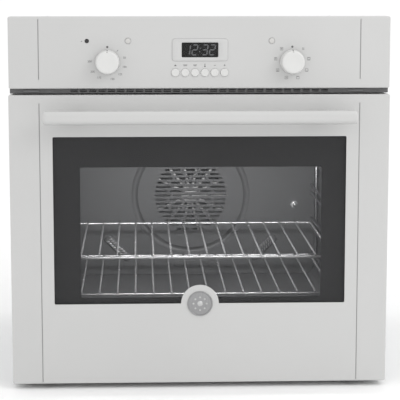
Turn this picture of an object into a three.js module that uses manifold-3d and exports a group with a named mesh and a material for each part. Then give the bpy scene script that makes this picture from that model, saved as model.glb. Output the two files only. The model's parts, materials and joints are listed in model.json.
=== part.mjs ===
// Built-in wall oven: white enamelled door and control panel on a galvanised chassis.
// Millimetres. +X is right, +Z is up, the door faces -Y, and z = 0 is the underside of the chassis.
import * as THREE from 'three';
import { mergeVertices } from 'three/addons/utils/BufferGeometryUtils.js';
import Module from 'manifold-3d';

const wasm = await Module();
wasm.setup();

// Driving dimensions
const FRONT_W = 595; // door width
const PANEL_INSET = 1; // the control panel is this much narrower than the door on each side
const DOOR_BOTTOM = 8;
const DOOR_H = 460;
const AIR_GAP = 10; // slot between door and control panel
const PANEL_H = 111;
const DOOR_T = 34; // thickness of door and control panel
const BODY_W = 556;
const BODY_H = 575;
const BODY_D = 530;
const SHEET = 1;
const FRAME_T = 2;
const SKIN_T = 2; // enamelled front sheet
const RETURN_T = 1.5; // folded edges of the front sheets
const FRONT_CORNER = 2.5; // corner radius of the front sheets
const FRONT_EDGE = 1.5; // rounding of their folded edges
const GAP = 0.3; // clearance between pieces that touch in use
const HOLE_PLAY = 0.5; // around a tube or lead that passes a sheet
const SEAL_T = 3.7;

const DOOR_TOP = DOOR_BOTTOM + DOOR_H;
const PANEL_BOTTOM = DOOR_TOP + AIR_GAP;
const PANEL_TOP = PANEL_BOTTOM + PANEL_H;
const BODY_FRONT = -BODY_D / 2;
const BODY_REAR = BODY_D / 2;
const FRAME_FACE = BODY_FRONT - FRAME_T;
const DOOR_REAR = FRAME_FACE - SEAL_T - GAP;
const DOOR_FACE = DOOR_REAR - DOOR_T;
const SKIN_REAR = DOOR_FACE + SKIN_T;
const HALF_DOOR = FRONT_W / 2;
const HALF_PANEL = HALF_DOOR - PANEL_INSET;
const HALF_BODY = BODY_W / 2;
const COVER_TOP = BODY_H - SHEET; // underside of the top cover
const COVER_REAR = BODY_REAR - SHEET; // inner face of the back cover

// Front frame: its flanges lie on the cabinet and take the fixing screws
const FLANGE_EDGE = 4; // the frame stays this far inside the door's outline
const HEM_GAP = 2.5; // from the casing to the folded strip down each flange
const HEM_T = 0.8;
const FIXING_X = (HALF_BODY + HALF_DOOR - FLANGE_EDGE) / 2;
const FIXING_Z = [70, 440];
const FIXING_R = 2.4;
const AIR_SLOT_Z = [PANEL_BOTTOM - 7.5, PANEL_BOTTOM - 0.5];

// Casing details
const RIB_PROUD = 3; // stiffening ribs pressed in the base and the back
const BASE_RIB_X = 150;
const BACK_RIB_X = 215;
const RIB_W = 16;
const VENT_Z = 510; // middle of the side vents
const VENT_H = 4;
const TERMINAL_X = -190;
const TERMINAL_Z = 520;
const TERMINAL_HALF = [24, 14]; // half width and height of its recess
const TERMINAL_WALL = [8, 6]; // around the recess: sides, and above and below
const TERMINAL_DEPTH = 14;
const TERMINAL_FLOOR = 10;
const TERMINAL_PITCH = 15;

// Cavity
const CAVITY_W = 464;
const CAVITY_H = 320;
const CAVITY_BOTTOM = 97;
const CAVITY_R = 18; // corner radius of the cavity
const CAVITY_D = 405; // from the front frame to the fan baffle
const FAN_SPACE = 41; // behind the baffle
const BAFFLE_T = 2;
const HALF_CAVITY = CAVITY_W / 2;
const CAVITY_TOP = CAVITY_BOTTOM + CAVITY_H;
const BAFFLE_Y = BODY_FRONT + CAVITY_D;
const LINER_REAR = BAFFLE_Y + BAFFLE_T + FAN_SPACE;
const WOOL_T = 25;
const WOOL_SPACE = 19; // room for the bottom element under the liner
const WOOL_BOTTOM = CAVITY_BOTTOM - SHEET - WOOL_SPACE - WOOL_T;
const WOOL_PLAY = 3; // around the liner
const WOOL_TOP = CAVITY_TOP + SHEET + WOOL_PLAY + WOOL_T;
const WOOL_REAR = LINER_REAR + SHEET + WOOL_T;

// Fan and heating elements
const FAN_Z = 247;
const FAN_R = 72;
const GRILLE_R = 71;
const RING_R = 110; // pressed ring around the grille
const RING_W = 9;
const LOUVRE_X = 136;
const LOUVRE_Z = CAVITY_BOTTOM + 51;
const PLAQUE_Z = CAVITY_BOTTOM + 21.5;
const ELEMENT_R = 3.5;
const GRILL_Z = CAVITY_TOP - 20;
const LOWER_HEAT_Z = CAVITY_BOTTOM - SHEET - 10;
const LEG_X = 40; // grill element legs
const LOWER_LEG_X = 30;
const RING_LEG_X = 14;
const HEATER_RING_R = 88;
const LAMP_X = 168;
const LAMP_Z = CAVITY_TOP - 52;
const LAMP_R = 24;
const PROBE_X = -HALF_CAVITY + 18;
const PROBE_Z = CAVITY_TOP - 13;
const PROBE_R = 2;

// Wire shelves and racks
const SHELF_LEVELS = [139.5, 200, 260.5, 321];
const SHELF_HALF_W = HALF_CAVITY - 11.5; // to the centre of the side rod
const SHELF_FRONT = BODY_FRONT + 20;
const SHELF_L = 350;
const SHELF_WIRES = 14;
const SHELF_PITCH = 29.2;
const SHELF_ROD_R = 3;
const SHELF_WIRE_R = 1.6;
const RACK_POST_R = 3;
const RACK_WIRE_R = 2.5;
const RACK_WIRE_X = SHELF_HALF_W + 2;
const RACK_POST_X = RACK_WIRE_X + RACK_WIRE_R + RACK_POST_R - 0.7; // welded to the wires
const RACK_POSTS_Y = [SHELF_FRONT + 30, SHELF_FRONT + SHELF_L - 30];

// Door
const GLASS_HALF_W = 230;
const GLASS_BOTTOM = 136.5;
const GLASS_TOP = 402.5;
const GLASS_T = 4;
const GLASS_LAP = 10;
const INNER_OPEN_HALF_W = 202;
const INNER_OPEN_BOTTOM = 122;
const INNER_OPEN_TOP = 374;
const INNER_FRAME_T = 1.2;
const TAB_R = 30;
const BADGE_R = 20;
const BADGE_T = 2;
const GROOVE_X = 250;
const GROOVE_W = 1.4;
const GROOVE_DEPTH = 0.9;
const HANDLE_L = 484;
const HANDLE_H = 21;
const HANDLE_T = 14;
const HANDLE_Z = 435;
const HANDLE_REACH = 28; // from the door face to the back of the bar
const POST_X = 188;
const POST_W = 16;
const HINGE_X = 243;
const HINGE_Z = DOOR_BOTTOM + 12;
const HINGE_Y = DOOR_REAR - 19;
const ARM_REAR = BODY_FRONT + 75;
const ARM_W = 8;
const ARM_H = 11;
const EYE_R = 8;
const PIN_R = 3;

// Controls
const KNOB_X = 143.5;
const KNOB_Z = 519;
const KNOB_R = 19;
const KNOB_DEPTH = 20;
const KNOB_GAP = 1;
const SHAFT_R = 3;
const TIMER_Z = 537.5;
const BEZEL_W = 86;
const BEZEL_H = 34;
const WINDOW_W = 57;
const WINDOW_H = 23;
const COLLAR_W = 79;
const COLLAR_H = 28;
const BUTTONS = 6;
const BUTTON_Z = 502.5;
const BUTTON_R = 6.2;
const BUTTON_PITCH = 15.3;
const BUTTON_PROUD = 1.8;
const BUTTON_TRAVEL = 1.2;
const LENSES = [[-175, 3.1], [-111.5, 4.3], [111.5, 4.3]]; // x and radius of each indicator
const LENS_Z = 551.5;
const BRACKET_Y = SKIN_REAR + 4;
const MODULE = { halfW: 47, z0: BUTTON_Z - 9, z1: TIMER_Z + 20 };

// Cooling blower
const BLOWER_Y = 140;
const BLOWER_R = 55;
const BLOWER_HALF = 75;
const BLOWER_H = 46;
const BLOWER_TOP = WOOL_TOP + BLOWER_H;
const OUTLET_HALF_W = 205;

// Finishes: colour, roughness, metalness
const FINISH = {
  enamel: [0xd9d9d7, 0.35, 0.0],
  plastic: [0xe4e4e2, 0.45, 0.0],
  darkGlass: [0x202124, 0.08, 0.0],
  clearGlass: [0x6a6d70, 0.08, 0.0],
  chrome: [0xc9cbcd, 0.18, 1.0],
  brushed: [0xb4b6b8, 0.35, 0.9],
  galvanised: [0x9fa3a6, 0.45, 0.85],
  cavity: [0x4a4c4f, 0.4, 0.1],
  blackPart: [0x1d1d1f, 0.6, 0.0],
  element: [0x2f2f31, 0.55, 0.4],
  wool: [0xc9c2a6, 0.95, 0.0],
  circuit: [0x2f6b46, 0.6, 0.0],
  lens: [0xe8e4da, 0.2, 0.0],
  seal: [0x2a2a2b, 0.8, 0.0],
};

const ARC_STEPS = 2; // each quarter arc of an outline has twice this many flats
const ROUND_STEPS = 14; // sides of small round pieces
const KNOB_SIDES = 28;

const oven = new THREE.Group();
oven.name = 'wall_oven';

// ---- geometry helpers -------------------------------------------------------------------

// A closed geometry as a manifold solid, its faces turned outwards.
function solid(geometry) {
  const bare = geometry.clone();
  for (const name of Object.keys(bare.attributes)) {
    if (name !== 'position') bare.deleteAttribute(name);
  }
  const merged = mergeVertices(bare, 1e-4);
  const triVerts = Uint32Array.from(merged.index.array);
  const vertProperties = Float32Array.from(merged.attributes.position.array);
  const body = new wasm.Manifold(new wasm.Mesh({ numProp: 3, vertProperties, triVerts }));
  if (body.volume() > 0) return body;
  for (let i = 0; i < triVerts.length; i += 3) {
    triVerts.subarray(i, i + 2).reverse();
  }
  return new wasm.Manifold(new wasm.Mesh({ numProp: 3, vertProperties, triVerts }));
}

function geometryOf(body) {
  const mesh = body.getMesh();
  const geometry = new THREE.BufferGeometry();
  geometry.setAttribute('position', new THREE.BufferAttribute(Float32Array.from(mesh.vertProperties), 3));
  geometry.setIndex(new THREE.BufferAttribute(Uint32Array.from(mesh.triVerts), 1));
  geometry.computeVertexNormals();
  return geometry;
}

function place(name, body, finish, parent = oven) {
  const [color, roughness, metalness] = FINISH[finish];
  const material = new THREE.MeshStandardMaterial({ color, roughness, metalness });
  const mesh = new THREE.Mesh(geometryOf(body), material);
  mesh.name = name;
  parent.add(mesh);
  return mesh;
}

function block(x0, x1, y0, y1, z0, z1) {
  const geometry = new THREE.BoxGeometry(x1 - x0, y1 - y0, z1 - z0);
  geometry.translate((x0 + x1) / 2, (y0 + y1) / 2, (z0 + z1) / 2);
  return solid(geometry);
}

// A round bar from one point to another.
function rod(from, to, radius, sides = 8) {
  const start = new THREE.Vector3(...from);
  const end = new THREE.Vector3(...to);
  const along = end.clone().sub(start);
  const geometry = new THREE.CylinderGeometry(radius, radius, along.length(), sides);
  const up = new THREE.Vector3(0, 1, 0);
  const turn = new THREE.Quaternion().setFromUnitVectors(up, along.clone().normalize());
  geometry.applyQuaternion(turn);
  geometry.translate(...start.add(end).multiplyScalar(0.5).toArray());
  return solid(geometry);
}

// A round disc whose axis is Y.
function discY(x, z, radius, y0, y1, sides = 24) {
  return rod([x, y0, z], [x, y1, z], radius, sides);
}

function roundRect(x0, x1, z0, z1, r) {
  const shape = new THREE.Shape();
  shape.moveTo(x0 + r, z0);
  shape.lineTo(x1 - r, z0);
  shape.absarc(x1 - r, z0 + r, r, -Math.PI / 2, 0, false);
  shape.lineTo(x1, z1 - r);
  shape.absarc(x1 - r, z1 - r, r, 0, Math.PI / 2, false);
  shape.lineTo(x0 + r, z1);
  shape.absarc(x0 + r, z1 - r, r, Math.PI / 2, Math.PI, false);
  shape.lineTo(x0, z0 + r);
  shape.absarc(x0 + r, z0 + r, r, Math.PI, Math.PI * 1.5, false);
  return shape;
}

// An outline in X and Z, extruded from y0 to y1, with an optional rounded edge on its y0 side.
function prismY(shape, y0, y1, edge = 0, steps = 2) {
  const geometry = new THREE.ExtrudeGeometry(shape, {
    depth: y1 - y0 - edge,
    curveSegments: ARC_STEPS,
    bevelEnabled: edge > 0,
    bevelSize: edge,
    bevelOffset: -edge,
    bevelThickness: edge,
    bevelSegments: steps,
  });
  geometry.rotateX(Math.PI / 2);
  geometry.translate(0, y1, 0);
  const body = solid(geometry);
  if (edge === 0) return body;
  return body.trimByPlane([0, -1, 0], -y1);
}

// An outline in X and Y, extruded from z0 to z1.
function prismZ(points, z0, z1) {
  const shape = new THREE.Shape(points.map(([x, y]) => new THREE.Vector2(x, y)));
  const geometry = new THREE.ExtrudeGeometry(shape, { depth: z1 - z0, bevelEnabled: false });
  geometry.translate(0, 0, z0);
  return solid(geometry);
}

// A path through given points, with one extrusion step for each stretch.
class StepPath extends THREE.Curve {
  constructor(points) {
    super();
    this.points = points;
  }

  getPoint(t) {
    const along = t * (this.points.length - 1);
    const index = Math.min(Math.floor(along + 1e-9), this.points.length - 2);
    return this.points[index].clone().lerp(this.points[index + 1], along - index);
  }

  getPointAt(t) {
    return this.getPoint(t);
  }

  getTangentAt(t) {
    const last = this.points.length - 1;
    const index = Math.round(t * last);
    const before = this.points[Math.max(index - 1, 0)];
    const after = this.points[Math.min(index + 1, last)];
    const here = this.points[index];
    const into = index > 0 ? here.clone().sub(before).normalize() : new THREE.Vector3();
    const out = index < last ? after.clone().sub(here).normalize() : new THREE.Vector3();
    return into.add(out).normalize();
  }
}

// Corner points with each inner corner rounded by a short arc of points.
function rounded(corners, radius, steps = 3) {
  const points = [corners[0].clone()];
  for (let i = 1; i < corners.length - 1; i += 1) {
    const into = corners[i - 1].clone().sub(corners[i]).setLength(radius).add(corners[i]);
    const out = corners[i + 1].clone().sub(corners[i]).setLength(radius).add(corners[i]);
    const bend = new THREE.QuadraticBezierCurve3(into, corners[i], out);
    points.push(...bend.getPoints(steps));
  }
  points.push(corners[corners.length - 1].clone());
  return points;
}

function tube(points, radius, sides = 8) {
  const section = new THREE.Shape();
  section.absarc(0, 0, radius, 0, Math.PI * 2, false);
  const geometry = new THREE.ExtrudeGeometry(section, {
    steps: points.length - 1,
    curveSegments: sides / 2,
    bevelEnabled: false,
    extrudePath: new StepPath(points),
  });
  return solid(geometry);
}

function joined(bodies) {
  return bodies.reduce((all, body) => all.add(body));
}

function without(body, cuts) {
  return cuts.reduce((rest, cut) => rest.subtract(cut), body);
}

const SIDES = [['left', -1], ['right', 1]];
const bothSides = (make) => [-1, 1].map((side) => make(side));

// A row of equal pieces, centred on zero.
function evenRow(count, pitch, make) {
  return Array.from({ length: count }, (_, i) => make((i - (count - 1) / 2) * pitch));
}

// A block between two distances from the middle plane, on one side of it.
function sideBlock(side, inner, outer, y0, y1, z0, z1) {
  const [x0, x1] = side < 0 ? [-outer, -inner] : [inner, outer];
  return block(x0, x1, y0, y1, z0, z1);
}

// A solid rounded box shape for the cavity and what is cut for it.
function cavityPrism(grow, y0, y1) {
  const shape = roundRect(
    -HALF_CAVITY - grow,
    HALF_CAVITY + grow,
    CAVITY_BOTTOM - grow,
    CAVITY_TOP + grow,
    CAVITY_R + grow,
  );
  return prismY(shape, y0, y1);
}

// ---- chassis ----------------------------------------------------------------------------

function makeCasing() {
  const slotFront = BLOWER_Y - 20;
  const baseSlots = evenRow(7, 50, (x) => block(x - 18, x + 18, slotFront, slotFront + 8, -1, SHEET + 1));
  const baseRibs = bothSides((side) => sideBlock(
    side,
    BASE_RIB_X - RIB_W / 2,
    BASE_RIB_X + RIB_W / 2,
    BODY_FRONT + 65,
    BODY_REAR - 185,
    SHEET,
    SHEET + RIB_PROUD,
  ));
  const base = block(-HALF_BODY, HALF_BODY, BODY_FRONT, BODY_REAR, 0, SHEET);
  place('base_plate', without(joined([base, ...baseRibs]), baseSlots), 'galvanised');

  const ventFront = BODY_REAR - 115;
  for (const [word, side] of SIDES) {
    const wall = sideBlock(side, HALF_BODY - SHEET, HALF_BODY, BODY_FRONT, COVER_REAR, SHEET, COVER_TOP);
    const vents = evenRow(6, 12, (z) => sideBlock(
      side,
      HALF_BODY - SHEET - 1,
      HALF_BODY + 1,
      ventFront,
      ventFront + 60,
      VENT_Z + z - VENT_H / 2,
      VENT_Z + z + VENT_H / 2,
    ));
    place(`side_panel_${word}`, without(wall, vents), 'galvanised');
  }

  const lid = block(-HALF_BODY, HALF_BODY, BODY_FRONT, COVER_REAR, COVER_TOP, BODY_H);
  const lidSlots = evenRow(9, 26, (x) => block(
    x - 4,
    x + 4,
    BLOWER_Y - 50,
    BLOWER_Y + 50,
    COVER_TOP - 1,
    BODY_H + 1,
  ));
  place('top_cover', without(lid, lidSlots), 'galvanised');
  makeBackCover();
}

// The back cover's ribs stand outwards, so its screws and the terminal recess lie behind them.
function makeBackCover() {
  const rear = COVER_REAR + SHEET;
  const skin = block(-HALF_BODY, HALF_BODY, COVER_REAR, rear, SHEET, BODY_H);
  const slots = [];
  for (const z of [-84, -59, 61, 86]) {
    slots.push(...evenRow(5, 46, (x) => block(
      x - 18,
      x + 18,
      COVER_REAR - 1,
      rear + RIB_PROUD + 1,
      FAN_Z + z - 2.5,
      FAN_Z + z + 2.5,
    )));
  }
  const ribs = bothSides((side) => prismY(
    roundRect(side * BACK_RIB_X - RIB_W / 2, side * BACK_RIB_X + RIB_W / 2, 60, WOOL_TOP, RIB_W / 2 - 1),
    COVER_REAR + SHEET / 2,
    rear + RIB_PROUD,
  ));
  const [halfW, halfH] = TERMINAL_HALF;
  const inlet = block(
    TERMINAL_X - halfW,
    TERMINAL_X + halfW,
    COVER_REAR - 1,
    rear + 1,
    TERMINAL_Z - halfH,
    TERMINAL_Z + halfH,
  );
  place('back_cover', without(joined([skin, ...ribs]), [...slots, inlet]), 'galvanised');
}

function makeTerminalBlock() {
  const [halfW, halfH] = TERMINAL_HALF;
  const [wallX, wallZ] = TERMINAL_WALL;
  const floor = COVER_REAR - TERMINAL_DEPTH;
  const housing = block(
    TERMINAL_X - halfW - wallX,
    TERMINAL_X + halfW + wallX,
    floor - TERMINAL_FLOOR,
    COVER_REAR,
    TERMINAL_Z - halfH - wallZ,
    TERMINAL_Z + halfH + wallZ,
  );
  const chamber = block(
    TERMINAL_X - halfW,
    TERMINAL_X + halfW,
    floor,
    COVER_REAR + 1,
    TERMINAL_Z - halfH,
    TERMINAL_Z + halfH,
  );
  const posts = evenRow(3, TERMINAL_PITCH, (x) => discY(
    TERMINAL_X + x,
    TERMINAL_Z,
    4,
    floor - 0.5,
    floor + 8,
    10,
  ));
  place('terminal_block', joined([without(housing, [chamber]), ...posts]), 'blackPart');
}

function makeFrontFrame() {
  const half = HALF_DOOR - FLANGE_EDGE;
  const top = PANEL_TOP - FLANGE_EDGE;
  const plate = prismY(roundRect(-half, half, FLANGE_EDGE, top, 2), FRAME_FACE, BODY_FRONT);
  const hems = bothSides((side) => sideBlock(
    side,
    HALF_BODY + HEM_GAP,
    half,
    BODY_FRONT - FRAME_T / 2,
    BODY_FRONT + HEM_T,
    FLANGE_EDGE + 4,
    top - 4,
  ));
  const front = FRAME_FACE - 1;
  const rear = BODY_FRONT + HEM_T + 1;
  const cuts = [
    cavityPrism(0, front, rear),
    block(-HALF_BODY + 10, HALF_BODY - 10, front, rear, PANEL_BOTTOM + 8, BODY_H - 8),
    block(-OUTLET_HALF_W, OUTLET_HALF_W, front, rear, ...AIR_SLOT_Z),
    ...bothSides((side) => sideBlock(
      side,
      HINGE_X - ARM_W / 2 - GAP,
      HINGE_X + ARM_W / 2 + GAP,
      front,
      rear,
      HINGE_Z - ARM_H / 2 - GAP,
      HINGE_Z + ARM_H / 2 + GAP,
    )),
    ...FIXING_Z.flatMap((z) => bothSides((side) => discY(side * FIXING_X, z, FIXING_R, front, rear, 12))),
  ];
  place('front_frame', without(joined([plate, ...hems]), cuts), 'galvanised');
}

function makeAirOutlet() {
  const reach = DOOR_T - 6;
  const [slotLow, slotHigh] = AIR_SLOT_Z;
  const strip = block(
    -HALF_PANEL + 1,
    HALF_PANEL - 1,
    FRAME_FACE - reach,
    FRAME_FACE,
    DOOR_TOP + 2,
    PANEL_BOTTOM - GAP,
  );
  const slots = evenRow(14, 29, (x) => block(
    x - 12,
    x + 12,
    FRAME_FACE - reach - 1,
    FRAME_FACE + 1,
    slotLow + 1.5,
    slotHigh - 1.5,
  ));
  place('air_outlet_grille', without(strip, slots), 'blackPart');
}

// ---- cavity -----------------------------------------------------------------------------

function ringLegZ() {
  return FAN_Z - Math.sqrt(HEATER_RING_R ** 2 - RING_LEG_X ** 2);
}

// Everything that passes the rear walls, a little larger than it is.
function rearPassages(y0, y1) {
  const leg = ELEMENT_R + HOLE_PLAY;
  return [
    ...bothSides((side) => discY(side * LEG_X, GRILL_Z, leg, y0, y1, 8)),
    discY(LAMP_X, LAMP_Z, LAMP_R + HOLE_PLAY, y0, y1, 20),
    discY(PROBE_X, PROBE_Z, PROBE_R + HOLE_PLAY, y0, y1, 8),
  ];
}

function fanPassages(y0, y1) {
  const leg = ELEMENT_R + HOLE_PLAY;
  return [
    discY(0, FAN_Z, 6, y0, y1, 12),
    ...bothSides((side) => discY(side * RING_LEG_X, ringLegZ(), leg, y0, y1, 8)),
  ];
}

function makeLiner() {
  const rear = LINER_REAR + SHEET;
  const shell = cavityPrism(SHEET, BODY_FRONT, rear).subtract(cavityPrism(0, BODY_FRONT - 1, LINER_REAR));
  const cuts = [...rearPassages(LINER_REAR - 1, rear + 1), ...fanPassages(LINER_REAR - 1, rear + 1)];
  place('cavity_liner', without(shell, cuts), 'cavity');
}

function makeInsulation() {
  const half = HALF_CAVITY + SHEET + WOOL_PLAY;
  const outer = block(-half - WOOL_T, half + WOOL_T, BODY_FRONT, WOOL_REAR, WOOL_BOTTOM, WOOL_TOP);
  const hollow = block(
    -half,
    half,
    BODY_FRONT - 1,
    LINER_REAR + SHEET + GAP,
    WOOL_BOTTOM + WOOL_T,
    WOOL_TOP - WOOL_T,
  );
  const y0 = LINER_REAR;
  const y1 = WOOL_REAR + 1;
  const hole = ELEMENT_R + HOLE_PLAY;
  const lowerLegs = bothSides((side) => discY(side * LOWER_LEG_X, LOWER_HEAT_Z, hole, y0, y1, 12));
  const cuts = [hollow, ...rearPassages(y0, y1), ...fanPassages(y0, y1), ...lowerLegs];
  place('insulation', without(outer, cuts), 'wool');
}

// Rows of short slots that fill a circle.
function grilleSlots(y0, y1) {
  const rows = 9;
  const pitch = 15;
  const slotL = 30;
  const slotH = 5;
  const step = 37;
  const slots = [];
  for (let row = 0; row < rows; row += 1) {
    const rise = (row - (rows - 1) / 2) * pitch;
    const reach = Math.sqrt(Math.max(GRILLE_R ** 2 - rise ** 2, 0));
    const count = Math.max(1, Math.floor((2 * reach + step - slotL) / step));
    const z = FAN_Z + rise;
    slots.push(...evenRow(count, step, (x) => block(
      x - slotL / 2,
      x + slotL / 2,
      y0,
      y1,
      z - slotH / 2,
      z + slotH / 2,
    )));
  }
  return slots;
}

// Warm-air louvre at a lower corner of the baffle, set at 45 degrees.
function louvre(side) {
  const length = 64;
  const width = 17;
  const proud = 4;
  const outline = roundRect(-length / 2, length / 2, -width / 2, width / 2, 6);
  const hood = prismY(outline, BAFFLE_Y - proud, BAFFLE_Y + 0.5);
  const vent = block(-length / 2 + 8, length / 2 - 8, BAFFLE_Y - proud - 1, BAFFLE_Y + BAFFLE_T + 1, -3, 3);
  const turned = (body) => body.rotate([0, side * -45, 0]).translate([side * LOUVRE_X, 0, LOUVRE_Z]);
  return { hood: turned(hood), vent: turned(vent) };
}

function makeBaffle() {
  const play = 0.8;
  const front = BAFFLE_Y;
  const tray = cavityPrism(-play, front, LINER_REAR);
  const pocket = cavityPrism(-play - 1, front + BAFFLE_T, LINER_REAR + 1);
  const ringOuter = discY(0, FAN_Z, RING_R, front - 1, front + 1.2, 36);
  const ringInner = discY(0, FAN_Z, RING_R - RING_W, front - 2, front + 2, 36);
  const louvres = bothSides(louvre);
  const plaque = block(-31, 31, front - 1.5, front + 0.5, PLAQUE_Z - 5.5, PLAQUE_Z + 5.5);
  const pressed = joined([tray.subtract(pocket), ...louvres.map((pair) => pair.hood), plaque]);
  place('fan_baffle', without(pressed, [
    ringOuter.subtract(ringInner),
    ...grilleSlots(front - 1, front + BAFFLE_T + 1),
    ...louvres.map((pair) => pair.vent),
    ...rearPassages(front - 5, front + BAFFLE_T + 1),
  ]), 'cavity');
}

function at(points, z) {
  return points.map(([x, y]) => new THREE.Vector3(x, y, z));
}

function makeElements() {
  const legEnd = WOOL_REAR + 8;
  const front = BODY_FRONT + 60;
  const rear = BAFFLE_Y - 40;
  const grill = at([
    [-LEG_X, legEnd], [-LEG_X, rear], [-190, rear], [-190, front], [-110, front], [-110, rear - 50],
    [110, rear - 50], [110, front], [190, front], [190, rear], [LEG_X, rear], [LEG_X, legEnd],
  ], GRILL_Z);
  place('grill_element', tube(rounded(grill, 18), ELEMENT_R), 'element');

  const lower = at([
    [-LOWER_LEG_X, legEnd], [-LOWER_LEG_X, rear + 20], [-180, rear + 20], [-180, front], [180, front],
    [180, rear + 20], [LOWER_LEG_X, rear + 20], [LOWER_LEG_X, legEnd],
  ], LOWER_HEAT_Z);
  place('bottom_element', tube(rounded(lower, 25), ELEMENT_R), 'element');

  const y = BAFFLE_Y + BAFFLE_T + 18;
  const open = Math.asin(RING_LEG_X / HEATER_RING_R);
  const turns = 24;
  const ring = Array.from({ length: turns + 1 }, (_, i) => {
    const angle = open + (i / turns) * (Math.PI * 2 - 2 * open);
    return new THREE.Vector3(HEATER_RING_R * Math.sin(angle), y, FAN_Z - HEATER_RING_R * Math.cos(angle));
  });
  const legs = [ring[0], ring[turns]].map((end) => new THREE.Vector3(end.x, legEnd, end.z));
  const entry = legs.map((leg) => leg.clone().setY(y + 6));
  const path = [legs[0], entry[0], ...ring.slice(1, turns), entry[1], legs[1]];
  place('ring_element', tube(path, ELEMENT_R), 'element');

  const probe = rod([PROBE_X, BODY_FRONT + 110, PROBE_Z], [PROBE_X, legEnd, PROBE_Z], PROBE_R);
  place('thermostat_probe', probe, 'brushed');
}

function makeLamp() {
  const seat = BAFFLE_Y - GAP;
  const can = discY(LAMP_X, LAMP_Z, LAMP_R, seat, WOOL_REAR + 6, 20);
  const well = discY(LAMP_X, LAMP_Z, LAMP_R - 3, seat - 1, LINER_REAR, 20);
  place('oven_lamp_holder', can.subtract(well), 'brushed');
  const rim = discY(LAMP_X, LAMP_Z, LAMP_R + 4, seat - 5, seat, 20);
  const plug = discY(LAMP_X, LAMP_Z, LAMP_R - 3 - GAP, seat - 1, seat + 10, 20);
  const dome = discY(LAMP_X, LAMP_Z, LAMP_R - 4, seat - 8, seat - 4, 20);
  place('oven_lamp_lens', joined([rim, plug, dome]), 'lens');
}

function makeRacks() {
  const low = SHELF_LEVELS[0] - 18;
  const high = SHELF_LEVELS[SHELF_LEVELS.length - 1] + 26;
  for (const [word, side] of SIDES) {
    const postX = side * RACK_POST_X;
    const bars = RACK_POSTS_Y.map((y) => rod([postX, y, low], [postX, y, high], RACK_POST_R));
    const y0 = SHELF_FRONT - 3;
    const y1 = SHELF_FRONT + SHELF_L + 5;
    for (const level of SHELF_LEVELS) {
      for (const z of [level - 5.5, level + 9.5]) {
        bars.push(rod([side * RACK_WIRE_X, y0, z], [side * RACK_WIRE_X, y1, z], RACK_WIRE_R));
      }
    }
    const weld = RACK_POST_X - RACK_WIRE_X;
    for (const y of RACK_POSTS_Y) {
      for (const z of [low + 6, high - 6]) {
        bars.push(rod([postX - (side * weld) / 2, y, z], [side * (HALF_CAVITY - GAP), y, z], 2));
      }
    }
    place(`side_rack_${word}`, joined(bars), 'chrome');
  }
}

function makeShelf(name, z) {
  const rear = SHELF_FRONT + SHELF_L;
  const w = SHELF_HALF_W;
  const bars = [
    ...bothSides((side) => rod([side * w, SHELF_FRONT - 2, 0], [side * w, rear + 2, 0], SHELF_ROD_R)),
    rod([-w, SHELF_FRONT, 0], [w, SHELF_FRONT, 0], SHELF_ROD_R),
    rod([-w, rear, 0], [w, rear, 0], SHELF_ROD_R - 0.5),
  ];
  const lift = SHELF_ROD_R + SHELF_WIRE_R - 0.8;
  bars.push(...evenRow(SHELF_WIRES, SHELF_PITCH, (x) => rod(
    [x, SHELF_FRONT - 2, lift],
    [x, rear + 2, lift],
    SHELF_WIRE_R,
    6,
  )));
  place(name, joined(bars), 'chrome').position.z = z;
}

function makeSeal() {
  const outer = cavityPrism(14, FRAME_FACE - SEAL_T, FRAME_FACE);
  place('door_seal', outer.subtract(cavityPrism(6, FRAME_FACE - SEAL_T - 1, FRAME_FACE + 1)), 'seal');
}

// ---- fans -------------------------------------------------------------------------------

function makeConvectionFan() {
  const blades = 10;
  const disc = discY(0, 0, FAN_R, 24, 25.5, 30);
  const hub = discY(0, 0, 11, 4, 25, 16);
  const shaft = discY(0, 0, 4, 4, WOOL_REAR - BAFFLE_Y + 14, 12);
  const vane = block(28, FAN_R - 2, 6, 24.5, -0.8, 0.8);
  const vanes = Array.from({ length: blades }, (_, i) => vane.rotate([0, (i * 360) / blades, 0]));
  const fan = new THREE.Group();
  fan.position.set(0, BAFFLE_Y + BAFFLE_T, FAN_Z);
  oven.add(fan);
  place('convection_fan', joined([disc, hub, shaft, ...vanes]), 'brushed', fan);

  const front = WOOL_REAR;
  const motor = discY(0, FAN_Z, 34, front, BODY_REAR - SHEET - 4, 24);
  const flange = block(-52, 52, front, front + 2, FAN_Z - 14, FAN_Z + 14);
  const bore = discY(0, FAN_Z, 4 + GAP, front - 1, front + 20, 12);
  place('convection_motor', joined([motor, flange]).subtract(bore), 'galvanised');
}

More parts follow.
